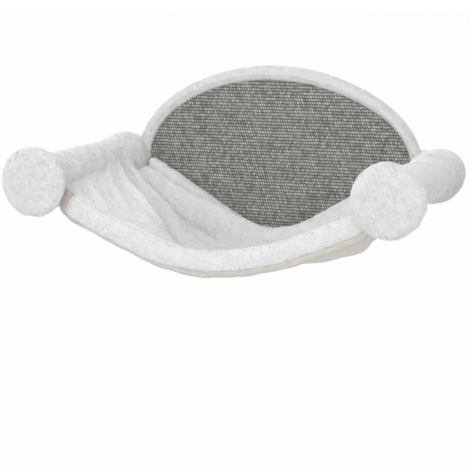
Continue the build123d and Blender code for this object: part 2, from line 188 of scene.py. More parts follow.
class Nodes:
    """Adds nodes to one tree: a material's, the world's or that of a modifier."""

    def __init__(self, tree):
        self.tree = tree

    def feed(self, socket, value):
        if isinstance(value, Wire):
            self.tree.links.new(value.socket, socket)
        else:
            socket.default_value = (*value, 1) if socket.type == "RGBA" else value

    def node(self, kind, settings=None, values=None, out=0):
        made = self.tree.nodes.new(kind)
        for key, value in (settings or {}).items():
            setattr(made, key, value)
        for key, value in (values or {}).items():
            self.feed(made.inputs[key], value)
        return Wire(self, made.outputs[out])

    def between(self, factor, first, second):
        values = {0: factor, 6: first, 7: second}
        return self.node("ShaderNodeMix", {"data_type": "RGBA"}, values, out=2)

    def vector(self, operation, first, second):
        other = "Scale" if operation == "SCALE" else 1
        return self.node("ShaderNodeVectorMath", {"operation": operation}, {0: first, other: second})


class Finish(Nodes):
    """A material under construction, with one Principled shader at its end."""

    def __init__(self, name, roughness, metallic=0.0, sheen=0.0, specular=0.5):
        self.material = bpy.data.materials.new(name)
        self.material.use_nodes = True
        super().__init__(self.material.node_tree)
        self.shader = self.tree.nodes["Principled BSDF"]
        labels = ("Roughness", "Metallic", "Sheen Weight", "Specular IOR Level")
        for label, value in zip(labels, (roughness, metallic, sheen, specular)):
            self.shader.inputs[label].default_value = value

    def place(self):
        return self.node("ShaderNodeTexCoord", out="Object")

    def axes(self):
        """X, Y and Z of the place on the piece."""
        x = self.node("ShaderNodeSeparateXYZ", {}, {0: self.place()})
        return x, x.beside(1), x.beside(2)

    def stretched(self, scale):
        return self.node("ShaderNodeMapping", {}, {"Vector": self.place(), "Scale": scale})

    def noise(self, size, detail=2.0, vector=None, roughness=0.5):
        where = vector or self.place()
        values = {"Vector": where, "Scale": 1 / size, "Detail": detail, "Roughness": roughness}
        return self.node("ShaderNodeTexNoise", {}, values)

    def colour(self, value):
        self.feed(self.shader.inputs["Base Color"], value)

    def rough(self, value):
        self.feed(self.shader.inputs["Roughness"], value)

    def bump(self, height, depth, strength=1.0):
        values = {"Height": height, "Distance": depth, "Strength": strength}
        self.feed(self.shader.inputs["Normal"], self.node("ShaderNodeBump", {}, values))


print("wires, nodes and finishes are ready")

# %% [markdown]
# ## The stage
# The photo is a cut-out on white, in soft light mostly from the front. So the world is white where
# the camera, a mirror or a glass sees it and a plain grey as light, and a pale floor lies well below.
# The floor can be looked through from underneath, so that the object's lower side can be seen as well.

# %% World, floor and lamp
bpy.context.scene.view_settings.view_transform = "Standard"
world_light, floor_white = 0.74, 0.96


def seen_directly(nodes):
    """1 where the camera, a reflection or a transmission meets this shader first."""
    path = nodes.node("ShaderNodeLightPath", out="Is Camera Ray")
    return path.most(path.beside("Is Glossy Ray")).most(path.beside("Is Transmission Ray"))


world = bpy.data.worlds.new("white_surround")
world.use_nodes = True
bpy.context.scene.world = world
sky = Nodes(world.node_tree)
surround = world.node_tree.nodes["Background"]
sky.feed(surround.inputs["Strength"], 1)
sky.feed(surround.inputs["Color"], sky.between(seen_directly(sky), (world_light,) * 3, (1, 1, 1)))

floor_mesh = bpy.data.meshes.new("floor")
floor_half, floor_z = 200, -0.62
corners = ((-1, -1), (1, -1), (1, 1), (-1, 1))
floor_mesh.from_pydata([(x * floor_half, y * floor_half, floor_z) for x, y in corners], [], [(0, 1, 2, 3)])
placed("floor", floor_mesh)
paint = Finish("floor_paint", roughness=1.0)
paint.colour((0.85, 0.85, 0.85))
matt, glow = Wire(paint, paint.shader.outputs[0]), paint.node("ShaderNodeEmission")
shown = paint.node("ShaderNodeMixShader", {}, {0: seen_directly(paint) * floor_white, 1: matt, 2: glow})
clear = paint.node("ShaderNodeBsdfTransparent")
from_below = paint.node("ShaderNodeNewGeometry", out="Backfacing")
one_way = paint.node("ShaderNodeMixShader", {}, {0: from_below, 1: shown, 2: clear})
paint.feed(paint.tree.nodes["Material Output"].inputs["Surface"], one_way)
floor_mesh.materials.append(paint.material)

light = bpy.data.lights.new("in_front", "AREA")
light.shape, light.size, light.energy = "SQUARE", 1.2, 17.5
lamp, lamp_place, lit_spot = placed("in_front", light), Vector((0.12, -1.9, 0.9)), Vector((0, -0.12, -0.03))
aim = (lit_spot - lamp_place).to_track_quat("-Z", "Y")
lamp.matrix_world = Matrix.Translation(lamp_place) @ aim.to_matrix().to_4x4()
lamp.visible_camera = False
print("world light", world_light)

# %% [markdown]
# ## Plush
# Plush is a knitted ground with a short dense pile. From a step away it reads as matt white with soft
# blotches about a centimetre across, where the pile lies one way or the other. The ground gets those
# blotches as a slight change of colour and a fine bump. The pile itself is real geometry, made further
# down, in four plain shades that are mixed strand by strand. A piece may carry painted shading as an
# attribute: above 0 it paints shade, with a darker ground and greyer strands, and below 0 it paints
# light, with a whiter ground and more white strands.


# %% Plush and its pile
def plush_finish():
    finish = Finish("plush_ground", roughness=0.95, sheen=0.15, specular=0.2)
    blotches = finish.noise(11 * mm, detail=3.0)
    stains = finish.noise(60 * mm, detail=1.0)
    # The attribute holds painted shading: above 0 painted shade, below 0 painted light.
    painted_shading = finish.node("ShaderNodeAttribute", {"attribute_name": "painted_shading"}, out="Fac")
    # Random blotches give the tone, and painted shading above 0 darkens it.
    blotch_and_painted_shading = (blotches - 0.32) * 1.6 - painted_shading * 1.2
    tone = finish.between(blotch_and_painted_shading, (0.78, 0.785, 0.785), (0.87, 0.87, 0.865))
    aged = finish.between((stains - 0.48) * 1.5, tone, (0.85, 0.845, 0.81))
    # Painted light: a whiter ground where the painted shading is below 0.
    painted_light = finish.between(painted_shading * -2, aged, (0.93, 0.93, 0.925))
    # Painted shade: a grey ground where the painted shading is above 0.
    finish.colour(finish.between(painted_shading, painted_light, (0.6, 0.605, 0.61)))
    tufts = finish.noise(2.2 * mm, detail=3.0, roughness=0.65)
    finish.bump(tufts + blotches * 1.5, 1.4 * mm, strength=0.7)
    return finish.material


plush = plush_finish()
pile_shades = {}
for label, colour in (
    ("White", (0.92, 0.92, 0.915)),
    ("Cream", (0.89, 0.885, 0.84)),
    ("Grey", (0.84, 0.845, 0.845)),
    # Painted shade: this darkest shade is picked only where painted shading lifts a strand's pick.
    ("Dull", (0.68, 0.685, 0.69)),
):
    shade = Finish(f"pile_{label.lower()}", roughness=0.9, sheen=0.2, specular=0.2)
    shade.colour(colour)
    pile_shades[label] = shade.material
print("plush and", len(pile_shades), "shades of pile")

# %% [markdown]
# ## Sisal
# The mat is a coarse flat weave of grey sisal. Light weft yarns run across as ribs and the warp shows
# between them. The mesh has that relief. The finish repeats the same pitches in Object coordinates, paints
# shade where the weft dips and near-black shade in the pits where both dip, and adds what yarn has: rows
# that differ in tone and stray tints.

# %% Sisal
rib_pitch, warp_pitch = 4.2 * mm, 3.5 * mm
row_shift = 0.37


def sisal_finish():
    finish = Finish("sisal_weave", roughness=0.85, specular=0.25)
    waver = finish.noise(12 * mm).beside("Color")
    bent = finish.vector("ADD", finish.place(), finish.vector("SCALE", waver, 1.3 * mm))
    x = finish.node("ShaderNodeSeparateXYZ", {}, {0: bent})
    up = x.beside(2) / rib_pitch
    across = x / warp_pitch + up.whole() * row_shift
    rib = (up * pi).sine().size()
    warp = (across * pi).sine().size()
    cell = finish.node("ShaderNodeCombineXYZ", {}, {0: across.whole(), 1: up.whole()})
    chance = finish.node("ShaderNodeTexWhiteNoise", {"noise_dimensions": "2D"}, {"Vector": cell})
    fibres = finish.noise(0.8 * mm, 3.0, finish.stretched((0.15, 1.0, 1.0)))
    rows = finish.noise(5 * mm, 2.0, finish.stretched((0.06, 1.0, 1.0)))
    patches = finish.noise(30 * mm, 2.0)
    weft = finish.between(rows * 1.1 + chance * 0.9 - 0.45, (0.31, 0.308, 0.29), (0.95, 0.945, 0.91))
    spun = finish.between(fibres * 1.4 - 0.3, (0.24, 0.23, 0.21), weft)
    # Painted shade where the weft dips between the warp yarns.
    knuckle = finish.between(warp * 1.6 - 0.12, (0.13, 0.128, 0.118), spun)
    gaps = warp.power(2.0) * (chance * 0.7 + 0.35)
    # Between the ribs: the warp's own grey, and near-black painted shade in the pits between warp yarns.
    under = finish.between(gaps, (0.006, 0.006, 0.005), (0.36, 0.355, 0.33))
    # The ribs show the weft, and between them the warp and the painted pits.
    shown = finish.between(rib * 1.6 - 0.42, under, knuckle)
    finish.colour(finish.between((patches - 0.6) * 1.2, shown, (0.4, 0.37, 0.25)))
    finish.bump(fibres, 0.4 * mm, strength=0.7)
    return finish.material


sisal = sisal_finish()
print(f"sisal weave, {warp_pitch / mm:.1f} by {rib_pitch / mm:.1f} mm")

# %% [markdown]
# ## Cloth, felt, foam and thread
# The underside is a brushed greyish beige cloth with a fine weave. The felt on the back is a mat of loose
# fibres, the foam has small open cells, and the binding tape and the sewing thread are a little glossier.


# %% Cloth, felt, foam and thread
def weave_finish(name, light, dark, pitch, depth):
    finish = Finish(name, roughness=0.9, sheen=0.1, specular=0.25)
    x, y, _ = finish.axes()
    grid = ((x * (2 * pi / pitch)).sine() * (y * (2 * pi / pitch)).sine() + 1) / 2
    slubs = finish.noise(9 * mm, 3.0)
    finish.colour(finish.between(grid * 0.45 + slubs * 0.5, dark, light))
    finish.bump(grid + slubs, depth, strength=0.7)
    return finish.material


def fibre_finish(name, light, dark, size, depth, roughness=0.95):
    finish = Finish(name, roughness=roughness, sheen=0.1, specular=0.2)
    fibres = finish.noise(size, 6.0, roughness=0.7)
    clouds = finish.noise(18 * mm, 2.0)
    finish.colour(finish.between(fibres * 0.75 + clouds * 0.4 - 0.1, dark, light))
    finish.bump(fibres, depth, strength=0.8)
    return finish.material


def foam_finish():
    finish = Finish("foam_cells", roughness=0.95, specular=0.2)
    values = {"Vector": finish.place(), "Scale": 1 / (1.6 * mm)}
    cells = finish.node("ShaderNodeTexVoronoi", {}, values, out="Distance")
    finish.colour(finish.between(cells * 1.3, (0.55, 0.5, 0.38), (0.86, 0.83, 0.72)))
    finish.bump(cells, 0.8 * mm, strength=0.8)
    return finish.material


under_cloth = weave_finish("underside_weave", (0.82, 0.8, 0.745), (0.68, 0.655, 0.6), 1.6 * mm, 0.25 * mm)
tape = weave_finish("binding_weave", (0.87, 0.83, 0.77), (0.5, 0.46, 0.41), 2.2 * mm, 0.4 * mm)
# The ends of the front hem get a browner and darker tape than the rest.
brown_end_tape = weave_finish("rubbed_binding", (0.83, 0.74, 0.65), (0.49, 0.41, 0.34), 2.2 * mm, 0.4 * mm)
felt = fibre_finish("felt_fibres", (0.66, 0.66, 0.65), (0.3, 0.3, 0.3), 2.4 * mm, 0.9 * mm)
thread = fibre_finish("sewing_thread", (0.9, 0.89, 0.86), (0.74, 0.72, 0.68), 0.6 * mm, 0.15 * mm, 0.6)
foam = foam_finish()
print("cloth, felt, foam and thread")

# %% [markdown]
# ## Board, wood and metal
# Fibreboard is brown and speckled. The posts are turned pine: growth rings round the axis of the arm,
# drawn out along it. Zinc-plated steel has fine drawn lines and cloudy roughness, and brass is turned. The
# bolts get their thread, and the heads of the hanger screws their cross, as a bump with painted shade in
# the grooves and in the recess.


# %% Board, wood and metal
def board_finish():
    finish = Finish("fibreboard", roughness=0.85, specular=0.3)
    speckle = finish.noise(1.4 * mm, 5.0, roughness=0.75)
    clouds = finish.noise(25 * mm, 2.0)
    tone = finish.between(speckle, (0.27, 0.165, 0.085), (0.5, 0.345, 0.2))
    finish.colour(finish.between((clouds - 0.4) * 0.8, tone, (0.42, 0.28, 0.16)))
    finish.bump(speckle, 0.2 * mm, strength=0.6)
    return finish.material


def pine_finish():
    finish = Finish("turned_pine", roughness=0.6, specular=0.35)
    grain = finish.stretched((1.0, 0.05, 1.0))
    rings = finish.noise(7 * mm, 2.0, grain)
    bands = (rings * 34).sine() * 0.5 + 0.5
    pores = finish.noise(0.8 * mm, 3.0, grain)
    tone = finish.between(bands, (0.62, 0.41, 0.2), (0.77, 0.58, 0.34))
    finish.colour(finish.between((pores - 0.55) * 2, tone, (0.45, 0.28, 0.13)))
    finish.rough(pores * 0.3 + 0.45)
    finish.bump(pores + bands * 0.4, 0.12 * mm, strength=0.6)
    return finish.material


def metal_finish(name, light, dark, scratch):
    finish = Finish(name, roughness=0.35, metallic=1.0)
    lines = finish.noise(0.7 * mm, 3.0, finish.stretched(scratch))
    clouds = finish.noise(9 * mm, 3.0)
    finish.colour(finish.between(clouds, dark, light))
    finish.rough(lines * 0.25 + clouds * 0.2 + 0.12)
    finish.bump(lines, 0.03 * mm, strength=0.5)
    return finish.material


def threaded_finish(name, light, dark, pitch, core_r):
    finish = Finish(name, roughness=0.35, metallic=1.0)
    x, along, high = finish.axes()
    aside = x.size() - arm_x
    shank = 1 - (aside * aside + high * high).power(0.5).above(core_r)
    groove = (along * (2 * pi / pitch)).sine() * 0.5 + 0.5
    # Painted shade in the thread's grooves.
    finish.colour(finish.between(groove * shank, light, dark))
    finish.rough(finish.noise(3 * mm, 3.0) * 0.3 + 0.2)
    finish.bump((1 - groove) * shank, 0.5 * mm)
    return finish.material


def screw_finish():
    finish = Finish("screw_heads", roughness=0.35, metallic=1.0)
    x, _, z = finish.axes()
    aside = (x.size() - screw_x).size()
    above = ((z - screw_z).size() - screw_dz).size()
    longer, shorter = aside.most(above), 0 - (0 - aside).most(0 - above)
    cross = (1 - longer.above(1.9 * mm)) * (1 - shorter.above(0.45 * mm))
    cloudy = finish.between(finish.noise(1.5 * mm, 2.0), (0.42, 0.4, 0.34), (0.56, 0.54, 0.47))
    # Painted shade: the cross recess is near black.
    finish.colour(finish.between(cross, cloudy, (0.03, 0.03, 0.03)))
    finish.bump(1 - cross, 0.6 * mm)
    return finish.material


board_skin = board_finish()
pine = pine_finish()
steel = metal_finish("zinc_plated_steel", (0.7, 0.71, 0.72), (0.5, 0.51, 0.53), (1.0, 1.0, 0.08))
bolt_steel = threaded_finish("bolt_thread", (0.66, 0.67, 0.68), (0.2, 0.2, 0.21), 1.25 * mm, 4.3 * mm)
brass = metal_finish("turned_brass", (0.8, 0.63, 0.3), (0.62, 0.45, 0.18), (1.0, 0.08, 1.0))
cad_finishes = {
    "backboard": board_skin,
    "rear_lining": felt,
    "hanger_screws": screw_finish(),
    "cover_staples": steel,
    "arm_bolts": bolt_steel,
    "arm_bolt_washers": steel,
    "arm_locating_pins": pine,
}
side_finishes = {
    "hanger_plate": steel,
    "arm_post": pine,
    "root_insert": brass,
    "tip_insert": brass,
    "cap_washer": steel,
    "cap_core": board_skin,
    "cap_bolt": bolt_steel,
}
for side in sides:
    cad_finishes.update({f"{side}_{name}": material for name, material in side_finishes.items()})
for name, material in cad_finishes.items():
    slots = nodes[name].data.materials
    slots.clear()
    slots.append(material)
print(len(cad_finishes), "nodes of the packed model keep their mesh and get a finish")

# %% [markdown]
# ## Helpers for meshes
# Most soft parts are skins through a row of sections: a rim, a roll, a sleeve. `loft` joins such rows
# with four-sided faces. `add_piece` makes the object, and `dress` says which body it rides on and which
# nodes of the imported model it stands for.


# %% Mesh helpers
def add_piece(name, points, faces, material, outward=True):
    mesh = bpy.data.meshes.new(name)
    mesh.from_pydata([tuple(p) for p in points], [], faces)
    mesh.materials.append(material)
    if outward:
        shape = bmesh.new()
        shape.from_mesh(mesh)
        bmesh.ops.recalc_face_normals(shape, faces=shape.faces)
        shape.to_mesh(mesh)
        shape.free()
    mesh.shade_smooth()
    return placed(name, mesh)


def dress(piece, body, replaced=()):
    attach(piece, body)
    if replaced:
        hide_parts(*replaced)
    return piece


def loft(sections, ring=True, path_closed=False):
    """Points and faces of a skin through rows of points. With ring, each row closes on itself."""
    rows, across = len(sections), len(sections[0])
    points = [tuple(p) for row in sections for p in row]
    faces = []
    for i in range(rows if path_closed else rows - 1):
        for j in range(across if ring else across - 1):
            after, beside = (i + 1) % rows, (j + 1) % across
            faces.append((i * across + j, i * across + beside, after * across + beside, after * across + j))
    if ring and not path_closed:
        for row in (0, rows - 1):
            middle = len(points)
            points.append(tuple(np.mean(sections[row], axis=0)))
            faces += [(row * across + j, row * across + (j + 1) % across, middle) for j in range(across)]
    return points, faces


def coordinates(piece, kind="co"):
    flat = np.empty(len(piece.data.vertices) * 3)
    piece.data.vertices.foreach_get(kind, flat)
    return flat.reshape(-1, 3)


def set_coordinates(piece, points):
    piece.data.vertices.foreach_set("co", np.asarray(points, float).ravel())
    piece.data.update()


def pushed(piece, amounts):
    """The points of a piece, moved out along their normals."""
    return coordinates(piece) + coordinates(piece, "normal") * amounts[:, None]


def off_axis(points, sign):
    """How far points are from the axis of the left or the right arm."""
    return np.hypot(points[:, 0] - sign * arm_x, points[:, 2])


def noise_at(points, size, seed):
    """Smooth noise from -1 to 1 at each point, with features of about that size."""
    shift = Vector((7.3 * seed, 3.1 * seed, 5.9 * seed))
    return np.array([noise.noise(Vector(p) / size + shift) for p in points])


def lumpy(piece, layers, where=None):
    """Pushes the surface in and out by layers of noise: (size, amount, seed)."""
    points = coordinates(piece)
    push = sum(noise_at(points, size, seed) * amount for size, amount, seed in layers)
    if where is not None:
        push *= where(points)
    set_coordinates(piece, pushed(piece, push))


def bake_modifiers(piece):
    """The mesh as it is shown becomes the piece's own mesh, and its modifiers are removed."""
    shown = piece.evaluated_get(bpy.context.evaluated_depsgraph_get())
    mesh = bpy.data.meshes.new_from_object(shown)
    piece.modifiers.clear()
    piece.data = mesh
    mesh.shade_smooth()


def triangles(piece):
    piece.data.calc_loop_triangles()
    return len(piece.data.loop_triangles)


print("mesh helpers are ready")

# %% [markdown]
# ## Stuffing
# A stuffed part takes its shape from the pressure of its filling against its cover. So the rolls and the
# caps are blown up with a cloth simulation: the mesh is remade with even faces, put under pressure
# without gravity for twenty frames, and then no point may move further than a few millimetres. Points
# near a seam are held, so the cover swells between its seams.


# %% Stuffing with the cloth simulation
def simulated(piece, held, frames, gravity=1.0, **settings):
    """The points of a piece after some frames of cloth simulation. `held` says how far each is held."""
    pins = piece.vertex_groups.new(name="held")
    for index, weight in enumerate(held(coordinates(piece))):
        pins.add([index], float(weight), "REPLACE")
    cloth = piece.modifiers.new("cloth", "CLOTH").settings
    cloth.vertex_group_mass = "held"
    cloth.effector_weights.gravity = gravity
    for label, value in settings.items():
        setattr(cloth, label, value)
    for number in range(1, frames + 1):
        bpy.context.scene.frame_set(number)
    shown = piece.evaluated_get(bpy.context.evaluated_depsgraph_get())
    points = np.array([v.co for v in shown.data.vertices], float)
    piece.modifiers.clear()
    piece.vertex_groups.clear()
    bpy.context.scene.frame_set(1)
    return points


def move_points(piece, move, most):
    """Moves the points of a piece, but none of them further than `most`."""
    length = np.linalg.norm(move, axis=1, keepdims=True)
    set_coordinates(piece, coordinates(piece) + move * np.minimum(1, most / np.maximum(length, 1e-9)))


def stuff(piece, voxel, most, held, pressure):
    remade = piece.modifiers.new("even_faces", "REMESH")
    remade.mode, remade.voxel_size = "VOXEL", voxel
    bake_modifiers(piece)
    blown = {"use_pressure": True, "uniform_pressure_force": pressure, "quality": 5}
    swollen = simulated(piece, held, frames=20, gravity=0, **blown)
    move_points(piece, swollen - coordinates(piece), most)


def subdivide(piece):
    smooth = piece.modifiers.new("smooth", "SUBSURF")
    smooth.levels = smooth.render_levels = 1
    bake_modifiers(piece)


# %% [markdown]
# ## Pile
# The pile is thousands of short three-sided strands. Geometry Nodes place them: points are scattered
# over the plush, and each strand stands up from the surface but leans the way its neighbours lean, as
# pile does that hands have brushed one way here and another way there. The tree ends in Realize Instances
# and Set Material, and its result is turned into a plain mesh, because instances are lost when the model
# is exported.


# %% The pile tree
class ShapeTree(Nodes):
    """A Geometry Nodes tree under construction, with named inputs."""

    def __init__(self, name, inputs):
        super().__init__(bpy.data.node_groups.new(name, "GeometryNodeTree"))
        ports = self.tree.interface
        for way in ("INPUT", "OUTPUT"):
            ports.new_socket("Geometry", in_out=way, socket_type="NodeSocketGeometry")
        for label, kind in inputs.items():
            ports.new_socket(label, in_out="INPUT", socket_type="NodeSocket" + kind)
        self.entry = self.node("NodeGroupInput")

    def given(self, label):
        return self.entry.beside(label)

    def attribute(self, name, kind="FLOAT"):
        return self.node("GeometryNodeInputNamedAttribute", {"data_type": kind}, {"Name": name})

    def chance(self, low, high, seed):
        values = {2: low, 3: high, "Seed": seed}
        return self.node("FunctionNodeRandomValue", {"data_type": "FLOAT"}, values, out=1)

    def close(self, geometry):
        exit_node = self.tree.nodes.new("NodeGroupOutput")
        self.feed(exit_node.inputs[0], geometry)


def run_tree(tree, host, name, values):
    """Runs a tree on a copy of the host's mesh and returns its result as a new plain object."""
    copy = placed(name, host.copy())
    modifier = copy.modifiers.new(name, "NODES")
    modifier.node_group = tree
    for item in tree.interface.items_tree:
        if item.in_out == "INPUT" and item.name in values:
            modifier[item.identifier] = values[item.name]
    shown = copy.evaluated_get(bpy.context.evaluated_depsgraph_get())
    mesh = bpy.data.meshes.new_from_object(shown)
    bpy.data.objects.remove(copy)
    return placed(name, mesh)


pile_inputs = dict.fromkeys(("Strands per area", "Length", "Radius", "Lean", "Clumps per metre"), "Float")
pile_inputs |= {"Seed": "Int", **dict.fromkeys(pile_shades, "Material")}
# Limits of each strand's pick. The last one lies above the random range, so only painted shading reaches it.
shade_limits = {"White": -9.0, "Cream": 0.5, "Grey": 0.66, "Dull": 1.12}


def make_pile_tree():
    tree = ShapeTree("plush_pile", pile_inputs)
    given, seed = tree.given, tree.given("Seed")
    furry = {"Mesh": given("Geometry"), "Selection": tree.attribute("plush_side", "BOOLEAN")}
    furry |= {"Density": given("Strands per area"), "Seed": seed}
    roots = tree.node("GeometryNodeDistributePointsOnFaces", {}, furry, out="Points")
    here = tree.node("GeometryNodeInputPosition")
    clumped = {"Vector": here, "Scale": given("Clumps per metre"), "Detail": 2.0}
    clumps = tree.node("ShaderNodeTexNoise", {}, clumped, out="Color")
    combed = tree.vector("SCALE", tree.vector("SUBTRACT", clumps, (0.5, 0.5, 0.5)), 3.0)
    any_way = {0: (-0.5, -0.5, -0.5), 1: (0.5, 0.5, 0.5), "Seed": seed}
    wander = tree.node("FunctionNodeRandomValue", {"data_type": "FLOAT_VECTOR"}, any_way)
    leaning = tree.vector("SCALE", tree.vector("ADD", combed, wander), given("Lean"))
    brushed_down = tree.vector("ADD", leaning, (0.0, -0.05, -0.35))
    direction = tree.vector("ADD", roots.beside("Normal"), brushed_down)
    upright = tree.node("FunctionNodeAlignRotationToVector", {"axis": "Z"}, {"Vector": direction})
    cone = {"Vertices": 3, "Radius Top": 0.0, "Radius Bottom": given("Radius"), "Depth": given("Length")}
    strand = tree.node("GeometryNodeMeshCone", {"fill_type": "NONE"}, cone)
    spots = {"Points": roots, "Instance": strand, "Rotation": upright, "Scale": tree.chance(0.6, 1.15, 11)}
    planted = tree.node("GeometryNodeInstanceOnPoints", {}, spots)
    # Each strand's pick is random and shifted by the painted shading: towards the grey and darkest shades
    # where it paints shade, towards White where it paints light.
    shade = tree.chance(0.0, 1.0, 5) + tree.attribute("painted_shading")
    noted = {"Geometry": planted, "Name": "strand_shade", "Value": shade}
    each = {"data_type": "FLOAT", "domain": "INSTANCE"}
    marked = tree.node("GeometryNodeStoreNamedAttribute", each, noted)
    coloured = tree.node("GeometryNodeRealizeInstances", {}, {0: marked})
    shade_there = tree.attribute("strand_shade")
    for label, limit in shade_limits.items():
        chosen = tree.node("FunctionNodeCompare", {}, {"A": shade_there, "B": limit})
        painted = {"Geometry": coloured, "Selection": chosen, "Material": given(label)}
        coloured = tree.node("GeometryNodeSetMaterial", {}, painted)
    tree.close(coloured)
    return tree.tree


pile_tree = make_pile_tree()


def mark_plush(piece, test=None):
    """Marks the faces that carry pile: all of them, or those whose middle passes the test."""
    mark = piece.data.attributes.new("plush_side", "BOOLEAN", "FACE")
    for face in piece.data.polygons:
        mark.data[face.index].value = test is None or bool(test(face.center, face.normal))


def lay_painted_shading(piece, amounts):
    """Gives a piece its painted shading, one number for each point: above 0 painted shade, below 0 painted
    light.
    """
    piece.data.attributes.new("painted_shading", "FLOAT", "POINT").data.foreach_set("value", amounts)


def grow_pile(piece, body, seed, per_mm2, length=2.2 * mm):
    values = {
        "Strands per area": per_mm2 / mm**2,
        "Length": length,
        "Radius": 0.33 * mm,
        "Lean": 1.0,
        "Clumps per metre": 1 / (10 * mm),
        "Seed": seed,
        **pile_shades,
    }
    pile = dress(run_tree(pile_tree, piece.data, piece.name + "_pile", values), body)
    print(pile.name, "has", triangles(pile), "triangles")
    return pile


# %% [markdown]
# ## The sisal mat
# A grid with four points on each pitch follows the weave: high on the ribs, with a dip where each warp
# yarn passes over, and each row's dips a little further along than the last one's. Points outside the
# oval are drawn in to its edge, which is then taken back to the board.


# %% The sisal mat
def make_sisal_mat():
    step_x, step_z = warp_pitch / 4, rib_pitch / 4
    relief = 0.8 * mm
    across, up = ceil(sisal_a / step_x) + 1, ceil(sisal_b / step_z) + 1
    xs = np.arange(-across, across + 1) * step_x
    zs = np.arange(-up, up + 1) * step_z
    grid_x, grid_z = np.meshgrid(xs, zs)
    reach = np.hypot(grid_x / sisal_a, grid_z / sisal_b)
    inside = reach <= 1
    kept = np.zeros((len(zs) - 1, len(xs) - 1), bool)
    for down, along in ((0, 0), (0, 1), (1, 0), (1, 1)):
        kept |= inside[down:len(zs) - 1 + down, along:len(xs) - 1 + along]
    row = np.floor(grid_z / rib_pitch + 1e-6)
    shifted = grid_x / warp_pitch + row_shift * row
    over = np.where(np.floor(shifted + 1e-6) % 2 == 0, 1, 0.82)
    rib = np.abs(np.sin(pi * grid_z / rib_pitch))
    warp = np.abs(np.sin(pi * shifted))
    lift = rib * (over + (1 - over) * (1 - warp)) * (0.8 + 0.2 * warp) * relief
    draw_in = np.where(inside, 1, 1 / np.maximum(reach, 1e-9))
    points = np.stack([grid_x * draw_in, -(sisal_front - relief + lift), grid_z * draw_in], axis=-1)
    numbers = np.arange(grid_x.size).reshape(grid_x.shape)
    corners = [numbers[:-1, :-1], numbers[:-1, 1:], numbers[1:, 1:], numbers[1:, :-1]]
    faces = np.stack(corners, axis=-1)[kept]
    used, faces = np.unique(faces, return_inverse=True)
    faces = faces.reshape(-1, 4).tolist()
    mat = add_piece("sisal_mat", points.reshape(-1, 3)[used], faces, sisal, outward=False)
    shape = bmesh.new()
    shape.from_mesh(mat.data)
    edge = [e for e in shape.edges if e.is_boundary]
    drawn = bmesh.ops.extrude_edge_only(shape, edges=edge)["geom"]
    for vertex in (v for v in drawn if isinstance(v, bmesh.types.BMVert)):
        vertex.co.y = -(board_front + 0.05 * mm)
    back_edge = [e for e in shape.edges if e.is_boundary]
    bmesh.ops.edgeloop_fill(shape, edges=back_edge)
    bmesh.ops.recalc_face_normals(shape, faces=shape.faces)
    shape.to_mesh(mat.data)
    shape.free()
    mat.data.shade_smooth()
    return dress(mat, "wall_unit", ("sisal_panel",))


sisal_mat = make_sisal_mat()
print("sisal mat,", triangles(sisal_mat), "triangles")

# %% [markdown]
# ## The plush rim
# The rim is foam wrapped in plush that is pulled over the board's edge and stapled behind. Its section
# runs from the back, round the outside, over the front and down to the sisal, and returns along the
# board. It is one ring. Beside each arm it widens, because its plush is pulled out over the collar's foot.

# %% The rim
rim_wrap = 15.7 * mm
rim_gap = 0.4 * mm
rim_stations = 300


def quarter(count, first=0):
    """Angles from 0 to a quarter turn."""
    return [pi / 2 * step / count for step in range(first, count + 1)]


def rim_section():
    """Pairs of how far out from the sisal's edge and how far out from the wall, round the section."""
    width = rim_a - sisal_a - rim_gap
    front, back = rim_front, 0.8 * mm
    outer, inner, heel = 8.5 * mm, 5.0 * mm, 3.0 * mm
    section = [(width - outer + outer * sin(t), front - outer + outer * cos(t)) for t in quarter(6)]
    section += [(width, back + 9 * mm), (width, back + 5 * mm)]
    section += [(width - heel + heel * cos(t), back + heel - heel * sin(t)) for t in quarter(3)]
    section += [(width - 8 * mm, back), (width - rim_wrap, back), (width - rim_wrap, board_back - 0.2 * mm)]
    board_edge = rim_a - 8 * mm - sisal_a
    section += [(board_edge, board_back - 0.2 * mm), (board_edge, board_front + 0.2 * mm)]
    section += [(0.0, board_front + 0.2 * mm), (0.0, front - inner)]
    return section + [(inner - inner * cos(t), front - inner + inner * sin(t)) for t in quarter(5, 1)]


